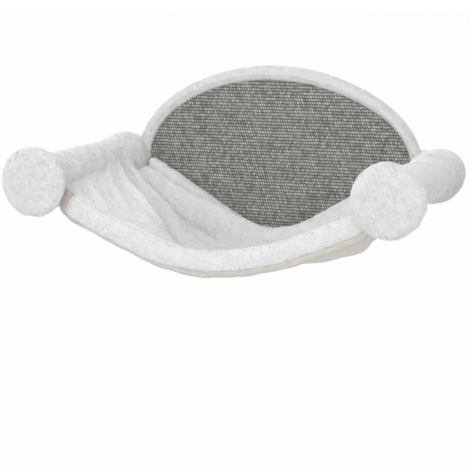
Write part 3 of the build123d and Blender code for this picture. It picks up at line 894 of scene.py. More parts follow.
def make_rim():
    section = rim_section()
    rows = []
    for station in range(rim_stations):
        t = 2 * pi * station / rim_stations
        pucker = 1 + 0.014 * sin(station * 1.9) + 0.012 * sin(station * 0.83 + 1)
        reach = 0.7 if cos(t) < 0 else 0.42
        skirt = (13 * mm if cos(t) < 0 else 7 * mm) * max(0.0, 1 - abs(sin(t)) / reach) ** 2
        skirt -= 5 * mm * cos(t - 0.6) * (sin(t) > 0) * min(1, abs(sin(t)) / 0.5)
        skirt += 5.8 * mm * exp(-(((t - 2.38) / 0.38) ** 2))
        row = []
        for out, depth in section:
            lift = (depth - board_front) * pucker if depth > board_front + 1 * mm else depth - board_front
            flare = skirt * out / (rim_a - sisal_a) if depth > board_front else 0
            movable = depth > board_front + 1 * mm or out > rim_a - sisal_a - 4 * mm
            pushed_in = 4 * mm * exp(-(((t - 0.95) / 0.5) ** 2)) * movable
            a = sisal_a + rim_gap + out + flare - pushed_in
            upwards = out * (rim_b - sisal_b - rim_gap) / (rim_a - sisal_a - rim_gap)
            b = sisal_b + rim_gap + upwards - pushed_in
            row.append((a * cos(t), -(board_front + lift), b * sin(t)))
        rows.append(row)
    rim = add_piece("plush_rim", *loft(rows, path_closed=True), plush)
    lumps = ((22 * mm, 0.8 * mm, 1), (8 * mm, 0.45 * mm, 2))
    lumpy(rim, lumps, lambda points: -points[:, 1] > board_front + 2 * mm)
    subdivide(rim)
    mark_plush(rim, lambda middle, normal: -middle.y > board_front - 8 * mm and normal.y < 0.8)
    # Painted shade: the whole rim gets a little painted shading, a greyer ground and greyer pile.
    lay_painted_shading(rim, np.full(len(rim.data.vertices), 0.14))
    return rim


rim = make_rim()
dress(rim, "wall_unit", ("rim_cover", "rim_padding"))
grow_pile(rim, "wall_unit", seed=20, per_mm2=1.2, length=2.0 * mm)
print("rim,", triangles(rim), "triangles")

# %% [markdown]
# ## How the cloth hangs
# The sling hangs from both arms. Seen from the front it is a wide arc, high at the arms and low in the
# middle, and it is deepest a hand's width in front of the wall. One function gives that height for any
# place. The folds are then added as lines: each has a crest that runs over the cloth, a steep side and
# a soft side, as a drawing of a fold would have.


# %% The hang of the cloth
station_shares = np.array((0.0, 0.13, 0.28, 0.45, 0.62, 0.80, 1.0))
middle_shares = np.array((0.74, 0.84, 0.95, 1.0, 0.98, 0.88, 0.72))
end_shares = np.array((0.03, 0.036, 0.045, 0.075, 0.105, 0.115, 0.11))
squareness = np.array((1.3, 1.7, 2.2, 2.5, 2.5, 2.1, 1.65))
sag = 124 * mm
sling_edge = 204.5 * mm


def eased(values, share):
    """A smooth reading of a row of station values."""
    fine = np.linspace(0, 1, 101)
    line = np.interp(fine, station_shares, values)
    kernel = np.hanning(17)
    padded = np.concatenate([np.full(8, line[0]), line, np.full(8, line[-1])])
    smooth = np.convolve(padded, kernel / kernel.sum(), mode="valid")
    return np.interp(share, fine, smooth)


def hang(x, depth):
    """Height of the plain cloth at a place across and out from the wall."""
    share = np.clip((depth - cloth_back) / (cloth_front - cloth_back), 0, 1)
    middle, end = -sag * eased(middle_shares, share), -sag * eased(end_shares, share)
    return middle + (end - middle) * np.abs(x / cloth_a) ** eased(squareness, share)


# Each fold is a list of (across, depth, height) in millimetres, then its steep and its soft width.
folds = (
    (((-202, 106, 6), (-182, 110, 15), (-166, 115, 22), (-150, 121, 28), (-133, 127, 31), (-116, 134, 31),
      (-99, 148, 27), (-82, 172, 20), (-66, 205, 11), (-52, 236, 4)), 7, 68),
    (((-190, 90, -4), (-165, 95, -9), (-140, 101, -13), (-115, 107, -13), (-95, 120, -10),
      (-78, 142, -7)), 10, 9),
    (((-197, 71, 6), (-182, 73, 12), (-165, 77, 16), (-150, 78, 16), (-134, 78, 14), (-118, 80, 8)), 8, 9),
    (((-184, 66, -5), (-170, 63, -12), (-156, 61, -18), (-144, 61, -20), (-131, 61, -20), (-112, 59, -18),
      (-92, 56, -16), (-74, 54, -14), (-55, 54, -9), (-30, 55, -4)), 8, 11),
    (((-194, 150, -1), (-186, 141, -3), (-178, 132, -3), (-170, 126, -1)), 5, 7),
    (((-100, 72, 5), (-84, 80, 7), (-62, 84, 5), (-40, 84, 2)), 7, 10),
    (((-40, 60, 2), (-20, 66, 6), (6, 68, 5), (34, 64, 2)), 7, 14),
    (((20, 84, 1), (55, 74, 6), (95, 66, 7), (130, 58, 2)), 8, 16),
    (((60, 120, 1), (100, 104, 6), (142, 90, 9), (182, 80, 3)), 8, 22),
    (((40, 190, 1), (90, 172, 7), (140, 160, 10), (186, 152, 3)), 9, 26),
    (((-30, 150, -1), (0, 142, -6), (36, 146, -6), (70, 158, -2)), 14, 22),
)
# Each spot is its middle (across, depth), its half widths in millimetres and its value there. The bulges
# and the belly of the underside are in millimetres too. The painted shading is a share: above 0 painted
# shade, below 0 painted light.
bulges = ((172, 205, 34, 50, -18), (66, 158, 62, 72, 20))
belly = ((135, 150, 48, 62, -9), (182, 185, 24, 50, -8), (-5, 120, 62, 60, 3.5))
sling_painted_shading = (
    (-105, 64, 60, 20, 0.6), (-40, 130, 85, 70, 0.22), (-150, 185, 52, 65, -0.45),
    (-98, 222, 36, 32, -0.7), (60, 90, 80, 40, 0.1),
)


def fold_lift(x, depth, line, steep, soft):
    """What one fold adds at each place, from its distance to the fold's crest."""
    line = np.array(line, float) * mm
    best = np.full(x.shape, np.inf)
    lift = np.zeros(x.shape)
    for start, end in zip(line, line[1:]):
        along = end[:2] - start[:2]
        t = np.clip(((x - start[0]) * along[0] + (depth - start[1]) * along[1]) / (along @ along), 0, 1)
        away = np.hypot(x - start[0] - t * along[0], depth - start[1] - t * along[1])
        beyond = along[0] * (depth - start[1]) - along[1] * (x - start[0])
        width = np.where(beyond > 0, soft, steep) * mm
        height = start[2] + (end[2] - start[2]) * t
        nearer = away < best
        best = np.where(nearer, away, best)
        lift = np.where(nearer, height * np.exp(-((away / width) ** 1.35)), lift)
    return lift


def spread(x, depth, spots):
    """The sum of some soft round spots at each place."""
    total = np.zeros(x.shape)
    for across, out, half_x, half_d, value in spots:
        away = ((x / mm - across) / half_x) ** 2 + ((depth / mm - out) / half_d) ** 2
        total += value * np.exp(-away)
    return total


def loose_share(x):
    """0 where the cloth is sewn to the sleeves, 1 away from them."""
    inset = np.clip((sling_edge - np.abs(x)) / (30 * mm), 0, 1)
    return inset * inset * (3 - 2 * inset)


def cloth_height(x, depth):
    height = hang(x, depth)
    for line, steep, soft in folds:
        height = height + fold_lift(x, depth, line, steep, soft)
    return height + spread(x, depth, bulges) * mm * loose_share(x)


print(f"the plain cloth hangs {-1000 * float(hang(0, 0.13)):.0f} mm below the arm axes in the middle")

# %% [markdown]
# ## The sling
# The sling is one sheet of plush, wadding and a cloth underside. Its upper side is a grid draped over
# the height above. A short cloth simulation then lets the sheet grow a few percent and fall under its
# own weight, with its edges held. What sinks evenly is taken out again, so that the small wrinkles
# stay, which the extra cloth has thrown up by itself between the drawn folds.


# %% The sling's plush
cloth_step = 5.6 * mm
into_hem = 6 * mm
sling_rear, sling_fore = rear_front - into_hem, hem_back + into_hem
weak_hold = 0.06
collar_reach, collar_room = 78 * mm, 33 * mm


def grid_sheet(name, grid, material, looks_up):
    """A sheet on a grid of points, with its faces looking up or down."""
    rows, columns = grid.shape[:2]
    first = [i * columns + j for i in range(rows - 1) for j in range(columns - 1)]
    faces = [(a, a + 1, a + columns + 1, a + columns) for a in first]
    sheet = add_piece(name, grid.reshape(-1, 3), faces, material, outward=False)
    if (sheet.data.polygons[0].normal.z > 0) != looks_up:
        sheet.data.flip_normals()
    return sheet


def thicken(sheet, amount):
    """Gives a sheet its thickness, behind the side that it shows."""
    thickness = sheet.modifiers.new("thickness", "SOLIDIFY")
    thickness.thickness, thickness.offset = amount, -1
    bake_modifiers(sheet)


def evened(values, reach):
    """Each place of a grid gets the mean of the places up to so many steps away."""
    rows, columns = values.shape[:2]
    around = np.pad(values, ((reach, reach),) * 2 + ((0, 0),) * (values.ndim - 2), mode="edge")
    window = range(2 * reach + 1)
    return sum(around[i:i + rows, j:j + columns] for i in window for j in window) / len(window) ** 2


def drape(sheet, shape):
    """Lets a sheet on a grid grow and fall with its edges held, and keeps only its new wrinkles."""
    start = coordinates(sheet)
    stiff = {"bending_stiffness": 1.2, "tension_stiffness": 20, "compression_stiffness": 20}
    grown = {"pin_stiffness": 0.6, "shrink_min": -0.07, "quality": 6}
    fallen = simulated(sheet, held_edges, frames=24, **grown, **stiff)
    move = (fallen - start).reshape(*shape, 3)
    smooth_panel = ((start[:, 0] + 140 * mm) / (62 * mm)) ** 2 + ((start[:, 1] + 180 * mm) / (62 * mm)) ** 2
    move = (move - evened(move, 7)).reshape(-1, 3) * (1 - 0.8 * np.exp(-smooth_panel))[:, None]
    print(f"draped, with wrinkles of up to {1000 * np.abs(move).max():.1f} mm")
    move_points(sheet, move, most=6 * mm)


def held_edges(points):
    """1 on the sheet's edges, falling to a weak hold inside."""
    depth = -points[:, 1]
    inset = np.minimum(sling_edge - np.abs(points[:, 0]), np.minimum(depth - sling_rear, sling_fore - depth))
    return np.where(inset < 1 * mm, 1.0, weak_hold)


def clear_collars(sheet):
    """Pushes the cloth down and out of the two collars and sleeves."""
    points = coordinates(sheet)
    for sign in sides.values():
        away = off_axis(points, sign)
        room = np.where(-points[:, 1] < collar_reach, collar_room, sleeve_r - 2 * mm)
        push = np.where(away < room, room / np.maximum(away, 1e-6), 1)
        points[:, 0] = sign * arm_x + (points[:, 0] - sign * arm_x) * push
        points[:, 2] *= push
    set_coordinates(sheet, points)


def make_sling():
    columns, rows = round(2 * sling_edge / cloth_step), round((sling_fore - sling_rear) / cloth_step)
    xs = np.linspace(-sling_edge, sling_edge, columns + 1)
    grid_x, grid_d = np.meshgrid(xs, np.linspace(sling_rear, sling_fore, rows + 1))
    grid = np.stack([grid_x, -grid_d, cloth_height(grid_x, grid_d)], axis=-1)
    sling = grid_sheet("sling_plush", grid, plush, looks_up=True)
    drape(sling, grid_x.shape)
    clear_collars(sling)
    sling_grid = coordinates(sling).reshape(grid.shape)
    loose = lambda points: 1 - spread(points[:, 0], -points[:, 1], ((-145, 180, 62, 70, 0.9),))
    lumpy(sling, ((40 * mm, 2.6 * mm, 6), (22 * mm, 1.4 * mm, 7)), loose)
    subdivide(sling)
    lumpy(sling, ((16 * mm, 1.0 * mm, 3), (6 * mm, 0.5 * mm, 4)))
    subdivide(sling)
    points = coordinates(sling)
    # Painted shade in the hollow behind the left fold near the back and over the middle, painted light on
    # the front-left panel.
    lay_painted_shading(sling, spread(points[:, 0], -points[:, 1], sling_painted_shading))
    mark_plush(sling)
    return sling, sling_grid


sling, sling_grid = make_sling()
sling_pile = grow_pile(sling, "wall_unit", seed=31, per_mm2=0.55)
thicken(sling, 5.5 * mm)
dress(sling, "wall_unit", ("sling_top", "sling_wadding"))
print("sling,", triangles(sling), "triangles")

# %% [markdown]
# The underside follows the sling about a centimetre lower. It is evened out, because the wadding between
# them fills the small folds, and it stays clear of the plush where a fold dips. Its own wrinkles are
# finer, and it bellies out low on the right.


# %% The underside
wadding_gap, fold_gap, least_gap = 12 * mm, 10.5 * mm, 9 * mm


def make_underside():
    x, depth, height = sling_grid[:, :, 0], -sling_grid[:, :, 1], sling_grid[:, :, 2]
    lowest = np.minimum(evened(height, 5) - wadding_gap, evened(height - fold_gap, 1))
    lowest += spread(x, depth, belly) * mm * loose_share(x)
    grid = sling_grid.copy()
    grid[:, :, 2] = np.minimum(lowest, height - least_gap)
    sheet = grid_sheet("sling_underside_cloth", grid, under_cloth, looks_up=False)
    subdivide(sheet)
    lumpy(sheet, ((34 * mm, 0.8 * mm, 5), (12 * mm, 0.5 * mm, 6)))
    subdivide(sheet)
    thicken(sheet, 1.4 * mm)
    return dress(sheet, "wall_unit", ("sling_underside",))


underside = make_underside()
print("underside,", triangles(underside), "triangles")

# %% [markdown]
# ## The padded hems
# The front and the rear edge of the sling are rolled round a strip of wadding. Each roll follows a
# line, an arc and a line, is an oval in section, and draws in at its two ends, where it is sewn to the
# sleeves. Both are stuffed with the cloth simulation: the front roll is held along its lower seam, the
# rear roll along the board.


# %% The hems
def hem_line(middle_z, end_z, slope_share, half_width, count):
    """Points (x, z) and directions along a line, an arc and a line."""
    rise = end_z - middle_z
    turn = atan2(slope_share * rise, half_width)
    bend_r = (slope_share - 1) * rise * cos(turn) / (1 - cos(turn))
    places = []
    for x in np.linspace(-half_width, half_width, count):
        bend_x = bend_r * sin(turn)
        if abs(x) < bend_x:
            slope = np.arcsin(x / bend_r)
            z = middle_z + bend_r * (1 - cos(slope))
        else:
            slope = turn if x > 0 else -turn
            z = middle_z + bend_r * (1 - cos(turn)) + (abs(x) - bend_x) * tan(turn)
        places.append((x, z, slope))
    return places


def end_draw(x, reach, taper):
    """How much of its full section a roll has at x: less near its two ends."""
    return 0.72 + 0.28 * sin(pi / 2 * min(1, (reach - abs(x)) / taper))


def off_line(place, depth, out, up):
    """A point beside a hem's line, so far out from the wall and so far up across the line."""
    x, z, slope = place
    return x - up * sin(slope), -(depth + out), z + up * cos(slope)


def roll_rows(places, depth, half_t, half_h, taper, around=28):
    """Oval sections along a hem, drawn in at both ends."""
    reach = max(abs(place[0]) for place in places)
    rows = []
    for place in places:
        draw = end_draw(place[0], reach, taper)
        turns = [2 * pi * step / around for step in range(around)]
        rows.append([off_line(place, depth, half_t * draw * cos(t), half_h * draw * sin(t)) for t in turns])
    return rows


hem_depth = (hem_back + hem_front) / 2
hem_half_t, hem_half_h = (hem_front - hem_back) / 2, 16.5 * mm
hem_middle_z, hem_end_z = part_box("front_hem")[0].z + hem_half_h, -31.2 * mm
hem_taper, end_tape = 20 * mm, 8 * mm


def front_hem_line(count):
    """The line of the front hem, pulled up a little right of its middle and where it is sewn on."""
    places = []
    for x, z, slope in hem_line(hem_middle_z, hem_end_z, slope_share=1.35, half_width=cloth_a, count=count):
        sewn_on = max(0, 1 - (cloth_a - abs(x)) / (22 * mm))
        z += 3 * mm * exp(-(((x - 50 * mm) / (52 * mm)) ** 2)) + 6 * mm * sewn_on ** 2
        places.append((x, z, slope))
    return places


front_line = front_hem_line(110)
rear_depth, rear_r = (rear_back + rear_front) / 2, (rear_front - rear_back) / 2
rear_low, rear_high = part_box("rear_hem")
rear_middle_z, rear_end_z = rear_low.z + rear_r, -2.6 * mm
rear_line = hem_line(rear_middle_z, rear_end_z, slope_share=1.19, half_width=rear_high.x, count=100)


def make_front_hem():
    rows = roll_rows(front_line, hem_depth, hem_half_t - 1 * mm, hem_half_h - 1 * mm, hem_taper)
    hem = add_piece("front_hem_roll", *loft(rows), plush)

    def seam(points):
        line_z = np.interp(points[:, 0], [p[0] for p in front_line], [p[1] for p in front_line])
        return (points[:, 2] < line_z - 0.7 * hem_half_h) | (np.abs(points[:, 0]) > cloth_a - 8 * mm)

    stuff(hem, voxel=4 * mm, most=2.2 * mm, held=seam, pressure=3)
    lumpy(hem, ((30 * mm, 1.1 * mm, 7), (9 * mm, 0.5 * mm, 8)))
    subdivide(hem)
    mark_plush(hem, lambda middle, normal: abs(middle.x) < cloth_a - 0.7 * end_tape)
    return dress(hem, "wall_unit", ("front_hem", "front_hem_wadding"))


def make_rear_hem():
    rows = roll_rows(rear_line, rear_depth, rear_r - 0.6 * mm, rear_r - 0.6 * mm, 16 * mm, around=20)
    hem = add_piece("rear_hem_roll", *loft(rows), plush)
    board_side = lambda points: -points[:, 1] < rear_back + 3 * mm
    stuff(hem, voxel=4 * mm, most=1.0 * mm, held=board_side, pressure=2)
    lumpy(hem, ((24 * mm, 0.9 * mm, 9), (8 * mm, 0.4 * mm, 10)))
    subdivide(hem)
    mark_plush(hem, lambda middle, normal: normal.y < 0.6)
    # Painted shadow along the rear roll, most a little left of its middle.
    lay_painted_shading(hem, 0.5 * np.exp(-(((coordinates(hem)[:, 0] + 50 * mm) / (85 * mm)) ** 2)))
    return dress(hem, "wall_unit", ("rear_hem", "rear_hem_wadding"))


front_hem, rear_hem = make_front_hem(), make_rear_hem()
grow_pile(front_hem, "wall_unit", seed=41, per_mm2=1.2)
grow_pile(rear_hem, "wall_unit", seed=42, per_mm2=1.0, length=2.0 * mm)
print("hems,", triangles(front_hem) + triangles(rear_hem), "triangles")

# %% [markdown]
# ## The sleeves
# Each arm wears a sleeve of plush: a tube round the foam, with a tail on its inner side where the sling
# is sewn on. The section is the round of the arm with a tangent tail. Along the arm it wrinkles a
# little, most near the collar, where the cloth is pushed together.


# %% The sleeves
tail_x = cloth_a + 0.5 * mm
tail_top, tail_bottom = -12.5 * mm, -33 * mm
foot_turn = radians(15)


def sleeve_outline(sign, swell):
    """The outside of a sleeve's section, from the top of the tail over the arm to its bottom."""
    outline = [(sign * tail_x, tail_top)]
    start, end = radians(205), radians(-90) - foot_turn
    for step in range(41):
        turn = start + (end - start) * step / 40
        outline.append((sign * (arm_x + (sleeve_r + swell) * cos(turn)), (sleeve_r + swell) * sin(turn)))
    foot = outline[-1]
    low = (sign * tail_x, tail_bottom)
    outline += [tuple(np.array(foot) + (np.array(low) - foot) * share) for share in (0.3, 0.6, 0.9)]
    return outline + [low]


def ring_wrinkles(piece, sign, amount, seed, where):
    """Wrinkles that run part of the way round the arm, as pushed-up cloth has."""
    points = coordinates(piece)
    around = np.arctan2(points[:, 2], points[:, 0] - sign * arm_x)
    slanted = points[:, 1] + 9 * mm * around
    flat = np.stack([slanted / (11 * mm), around * 0.9, np.full(len(points), 3.0 * seed)], axis=1)
    creases = np.array([1 - 2.2 * abs(noise.noise(Vector(p))) for p in flat])
    set_coordinates(piece, pushed(piece, creases * amount * where(points)))


def faces_out(middle, normal, sign):
    """True where a face looks away from the axis of its arm."""
    return (middle.x - sign * arm_x) * normal.x + middle.z * normal.z > 0


def make_sleeve(side):
    sign = sides[side]
    rows, count = [], 70
    back, front = sleeve_back - 12 * mm, sleeve_front - 0.5 * mm
    for station in range(count + 1):
        share = station / count
        depth = back + (front - back) * share
        swell = 0.5 * mm * sin(9 * share + 2 * sign) - 1.6 * mm
        swell += 1.8 * mm * max(0.0, (100 * mm - depth) / (34 * mm)) ** 2
        mouth = max(0.0, (depth - front + 5 * mm) / (5 * mm))
        rows.append([(x, -depth, z) for x, z in sleeve_outline(sign, swell - 2.2 * mm * mouth**2)])
    bore = foam_r + 0.4 * mm
    turns = [atan2(z, x - sign * arm_x) for x, y, z in rows[0]]
    for depth in (front, back):
        rows.append([(sign * arm_x + bore * cos(turn), -depth, bore * sin(turn)) for turn in turns])
    sleeve = add_piece(f"{side}_sleeve", *loft(rows, path_closed=True), plush)
    outside = lambda points: off_axis(points, sign) > bore + 1 * mm
    lumpy(sleeve, ((26 * mm, 1.2 * mm, 12 + sign), (10 * mm, 0.5 * mm, 15 + sign)), outside)
    ring_wrinkles(sleeve, sign, 1.5 * mm, 17 + sign, outside)
    subdivide(sleeve)
    tail = lambda x: sign * x < tail_x + 1.5 * mm
    mark_plush(sleeve, lambda middle, normal: faces_out(middle, normal, sign) and not tail(middle.x))
    # Painted shade: the whole sleeve gets a little painted shading, a slightly darker ground and greyer
    # pile.
    lay_painted_shading(sleeve, np.full(len(sleeve.data.vertices), 0.08))
    return dress(sleeve, "wall_unit", (f"{side}_arm_tunnel",))


def make_foam_tube(side):
    sign = sides[side]
    ends = np.linspace(board_front + 1 * mm, sleeve_front - 0.3 * mm, 40)
    turns = np.linspace(0, 2 * pi, 49)[:-1]
    rows = []
    for radius, way in ((foam_r, ends), (post_r + 0.3 * mm, ends[::-1])):
        rows += [[(sign * arm_x + radius * cos(t), -depth, radius * sin(t)) for t in turns] for depth in way]
    tube = add_piece(f"{side}_foam_tube", *loft(rows, path_closed=True), foam)
    lumpy(tube, ((5 * mm, 0.15 * mm, 18),))
    return dress(tube, "wall_unit", (f"{side}_arm_padding",))


for side in sides:
    sleeve = make_sleeve(side)
    grow_pile(sleeve, "wall_unit", seed=50 + sides[side], per_mm2=0.9)
    make_foam_tube(side)
print("sleeves and foam tubes")

# %% [markdown]
# ## The collars
# Round the foot of each arm sits a thick plush collar, like a cuff. It narrows towards the room and
# sags a little under its own weight. Its section is drawn and turned round the arm, and noise then
# roughens it. The right one is pressed down. Both get painted shade on their lower part, the right one
# more.


# %% The collars
pressed_top = {"left": 0.5 * mm, "right": 8.5 * mm}
pressed_side = {"left": 0 * mm, "right": 2.5 * mm}
# How much painted shade each collar's lower part gets.
collar_painted_shade = {"left": 0.12, "right": 0.3}


def make_collar(side):
    sign = sides[side]
    # Radius and depth in millimetres, from the wall over the outside to the front, then back inside.
    wall = [(19, 1.9), (19, 0.9), (29, 0.9), (30.8, 2), (33.2, 8), (35.4, 16), (36.4, 26), (36.4, 36)]
    wall += [(35.4, 46), (34.0, 54), (32.5, 61), (31.2, 68), (29.9, 74), (28.6, 80), (26.8, 84)]
    inner = [(foam_r / mm + 0.5, 84), (foam_r / mm + 0.8, 40)]
    inner += [(27.8, 16), (27.8, 14.4), (27.6, 8), (27.6, 1.9)]
    profile = [(radius * mm, depth * mm) for radius, depth in wall + inner]
    rows = []
    for turn in np.linspace(0, 2 * pi, 73)[:-1]:
        row = []
        filled = 8 * mm * np.clip((-sign * cos(turn) - 0.5) / 0.2, 0, 1)
        for radius, depth in profile:
            loose = np.clip((radius - 28 * mm) / (8 * mm), 0, 1)
            sag = -2.2 * mm * loose * (depth / (60 * mm)) ** 2 * (depth < 70 * mm)
            fading = np.clip((75 * mm - depth) / (35 * mm), 0, 1)
            pressed = pressed_top[side] * loose * max(0, sin(turn)) * fading
            narrowed = pressed_side[side] * loose * max(0, cos(turn))
            reach = radius + (depth < 9 * mm) * (radius > 28 * mm) * filled
            x = sign * arm_x + reach * cos(turn) - narrowed
            row.append((x, -depth, reach * sin(turn) + sag - pressed))
        rows.append(row)
    collar = add_piece(f"{side}_collar", *loft(rows, path_closed=True), plush)
    outside = lambda points: (off_axis(points, sign) > 29.5 * mm) & (-points[:, 1] > 10 * mm)
    lumpy(collar, ((22 * mm, 1.5 * mm, 21 + sign), (9 * mm, 0.6 * mm, 24 + sign)), outside)
    ring_wrinkles(collar, sign, 1.2 * mm, 27 + sign, outside)
    subdivide(collar)
    mark_plush(collar, lambda middle, normal: faces_out(middle, normal, sign) and -middle.y > 3 * mm)
    # Painted shade on the lower part of each collar, most near the wall.
    points = coordinates(collar)
    low_part = 1 / (1 + np.exp((points[:, 2] - 12 * mm) / (5 * mm)))
    lay_painted_shading(collar, collar_painted_shade[side] * low_part * np.clip((84 * mm + points[:, 1]) / (30 * mm), 0.25, 1))
    return dress(collar, "wall_unit", (f"{side}_arm_base_collar",))


for side in sides:
    collar = make_collar(side)
    grow_pile(collar, "wall_unit", seed=60 + sides[side], per_mm2=1.1)
print("collars")

# %% [markdown]
# ## The caps
# A cap is a flat, round cushion over a board. Its cover has a domed front, a band round the side and a
# back with a round mouth for the arm. The simulation blows it up with the two seams held, which gives
# the slightly uneven outline of a hand-filled cushion.


# %% The caps
mouth_r = post_r + 1.4 * mm


def make_cap(side):
    sign = sides[side]
    depth_mid = (cap_back + cap_front) / 2
    r = cap_r + 0.3 * mm
    front, back, seam = cap_front - 1.6 * mm, cap_back + 0.8 * mm, 4 * mm
    profile = [(mouth_r, cap_back + 4.6 * mm), (mouth_r, back + 0.6 * mm), (mouth_r + 1 * mm, back)]
    profile += [(r - 12 * mm, back), (r - 6 * mm, back + 1 * mm), (r - 2 * mm, back + seam)]
    profile += [(r, depth_mid - 2 * mm), (r, depth_mid + 2 * mm), (r - 2 * mm, front - seam)]
    profile += [(r - 6 * mm, front - 1.4 * mm), (r - 14 * mm, front - 0.3 * mm), (r * 0.4, front)]
    rows = []
    for turn in np.linspace(0, 2 * pi, 65)[:-1]:
        rows.append([(sign * arm_x + a * cos(turn), -d, a * sin(turn)) for a, d in profile])
    points, faces = loft(rows, ring=False, path_closed=True)
    count, end = len(profile), len(points)
    points += [(sign * arm_x, -profile[0][1], 0), (sign * arm_x, -profile[-1][1], 0)]
    for i in range(len(rows)):
        here, after = i * count, (i + 1) % len(rows) * count
        faces += [(here, after, end), (here + count - 1, after + count - 1, end + 1)]
    cap = add_piece(f"{side}_cap_cushion", points, faces, plush)

    def seams(points):
        away, depth = off_axis(points, sign), -points[:, 1]
        mouth = (away < mouth_r + 6 * mm) & (depth < cap_back + 6 * mm)
        return mouth | (away > r - 4 * mm) & (np.abs(depth - (front - seam)) < 1.6 * mm)

    def not_mouth(points):
        return (off_axis(points, sign) > mouth_r + 4 * mm) | (-points[:, 1] > cap_back + 8 * mm)

    stuff(cap, voxel=3.4 * mm, most=2.4 * mm, held=seams, pressure=3)
    lumpy(cap, ((19 * mm, 1.3 * mm, 31 + sign), (8 * mm, 0.9 * mm, 34 + sign)), not_mouth)
    points = coordinates(cap)
    both_seams = (back + seam, front - seam)
    grooves = sum(np.exp(-(((-points[:, 1] - at) / (1.5 * mm)) ** 2)) for at in both_seams)
    points = pushed(cap, -(1.3 * mm * grooves * (off_axis(points, sign) > r - 7 * mm)))
    points[:, 2] -= 1.6 * mm * np.clip(-points[:, 2] / r, 0, 1) ** 2 * not_mouth(points)
    set_coordinates(cap, points)
    subdivide(cap)
    furry = lambda m, n: np.hypot(m.x - sign * arm_x, m.z) > mouth_r + 1.5 * mm or -m.y > depth_mid
    mark_plush(cap, furry)
    return dress(cap, f"{side}_cap", (f"{side}_cap_cover", f"{side}_cap_padding"))


for side in sides:
    cap = make_cap(side)
    grow_pile(cap, f"{side}_cap", seed=70 + sides[side], per_mm2=1.8)
print("caps")

# %% [markdown]
# ## Binding and stitches
# Under the front hem runs a folded tape that covers its raw edge, oversewn with a close row of
# stitches. Each stitch is the same small bent piece of thread, so Geometry Nodes set it along the seam
# at an even pitch.


# %% The stitch tree
def make_stitch_tree():
    inputs = dict.fromkeys(("Pitch", "Stitch length", "Thread radius"), "Float") | {"Material": "Material"}
    tree = ShapeTree("stitch_row", inputs)
    given = tree.given
    seam = tree.node("GeometryNodeMeshToCurve", {}, {"Mesh": given("Geometry")})
    spaced = tree.node("GeometryNodeCurveToPoints", {"mode": "LENGTH"}, {0: seam, "Length": given("Pitch")})
    bow = {"Resolution": 7, "Radius": 1.0, "Start Angle": radians(20), "Sweep Angle": radians(140)}
    arc = tree.node("GeometryNodeCurveArc", {"mode": "RADIUS"}, bow)
    flattened = tree.node("GeometryNodeTransform", {}, {"Geometry": arc, "Scale": (0.5, 0.3, 1.0)})
    sized = tree.node("ShaderNodeCombineXYZ", {}, {axis: given("Stitch length") for axis in (0, 1, 2)})
    scaled = tree.node("GeometryNodeTransform", {}, {"Geometry": flattened, "Scale": sized})
    ring = {"Resolution": 6, "Radius": given("Thread radius")}
    thread_round = tree.node("GeometryNodeCurvePrimitiveCircle", {}, ring)
    swept = {"Curve": scaled, "Profile Curve": thread_round, "Fill Caps": True}
    stitch = tree.node("GeometryNodeCurveToMesh", {}, swept)
    spots = {"Points": spaced, "Instance": stitch, "Rotation": spaced.beside("Rotation")}
    sewn = tree.node("GeometryNodeInstanceOnPoints", {}, spots)
    made_real = tree.node("GeometryNodeRealizeInstances", {}, {0: sewn})
    dyed = {"Geometry": made_real, "Material": given("Material")}
    tree.close(tree.node("GeometryNodeSetMaterial", {}, dyed))
    return tree.tree


stitch_tree = make_stitch_tree()
print("stitch tree")

# %% [markdown]
# The tape is a flat strip that follows the lower side of the roll. Its outer face looks down and to the
# front, and the stitches lie across its upper edge.

# %% The tape and its stitches
tape_reach = span("hem_binding", 0)[1]
# How far out and up from the hem's line in millimetres, where the tape is loose and where it is tight.
tape_section = ((-5.5, -16.6), (0, -18.4), (5, -17.2), (9.8, -9.6), (9, -9), (4.4, -15.6), (0, -16.6))
tape_section_tight = ((-5, -15), (0, -16.9), (4.2, -15.7), (7, -12.6), (6, -11.8), (3.4, -14.2), (0, -15.2))


def tightness(x):
    """How tight the tape is pulled: more and more from the middle to the left."""
    return np.clip((-x - 30 * mm) / (50 * mm), 0, 1)


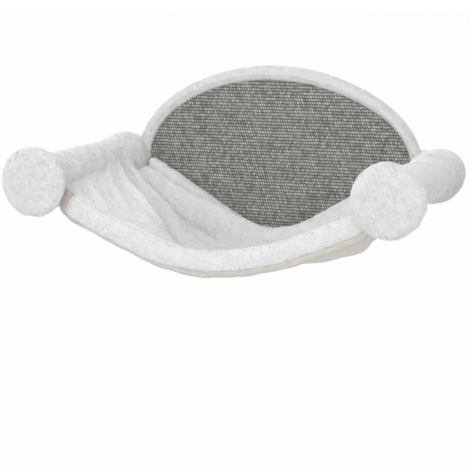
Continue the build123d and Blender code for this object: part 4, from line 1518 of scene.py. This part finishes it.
def make_tape():
    rows = []
    for place in front_hem_line(150):
        x = place[0]
        if abs(x) > tape_reach:
            continue
        wave = 0.5 * mm * sin(x / (9 * mm)) + 0.3 * mm * sin(x / (4.3 * mm))
        draw, tight = end_draw(x, cloth_a, hem_taper), tightness(x)
        row = []
        for (out, up), (near_out, near_up) in zip(tape_section, tape_section_tight):
            out, up = out + (near_out - out) * tight, up + (near_up - up) * tight
            row.append(off_line(place, hem_depth, out * draw * mm, up * draw * mm + wave))
        rows.append(row)
    strip = add_piece("hem_tape", *loft(rows), tape)
    subdivide(strip)
    return dress(strip, "wall_unit", ("hem_binding",))


def make_end_tape(side):
    """The tape folded round one end of the hem, from under it over its front to its top."""
    rows = []
    for place in front_hem_line(240):
        if cloth_a - sides[side] * place[0] > end_tape + 1 * mm:
            continue
        draw = end_draw(place[0], cloth_a, hem_taper)
        row = []
        for thick, start, end in ((1.5 * mm, -125, 100), (0.5 * mm, 100, -125)):
            for turn in np.radians(np.linspace(start, end, 24)):
                out, up = (hem_half_t * draw + thick) * cos(turn), (hem_half_h * draw + thick) * sin(turn)
                row.append(off_line(place, hem_depth, out, up))
        rows.append(row)
    strip = add_piece(f"{side}_hem_end_tape", *loft(rows), brown_end_tape)
    lumpy(strip, ((9 * mm, 0.5 * mm, 51),))
    subdivide(strip)
    return dress(strip, "wall_unit")


def sew_hem():
    """A row of stitches along the upper edge of the tape."""
    line = []
    for place in front_hem_line(150):
        x = place[0]
        if abs(x) < tape_reach - 1 * mm:
            draw, tight = end_draw(x, cloth_a, hem_taper), tightness(x)
            out, up = (9.9 - 2.6 * tight) * mm * draw, (-9.4 - 3 * tight) * mm * draw
            line.append(off_line(place, hem_depth, out, up))
    seam = bpy.data.meshes.new("hem_seam")
    seam.from_pydata(line, [(i, i + 1) for i in range(len(line) - 1)], [])
    values = {"Pitch": 2.4 * mm, "Stitch length": 3.0 * mm, "Thread radius": 0.36 * mm, "Material": thread}
    return dress(run_tree(stitch_tree, seam, "hem_stitches", values), "wall_unit")


for side in sides:
    make_end_tape(side)
make_tape()
print("tape and stitches,", triangles(sew_hem()), "triangles in the stitches")
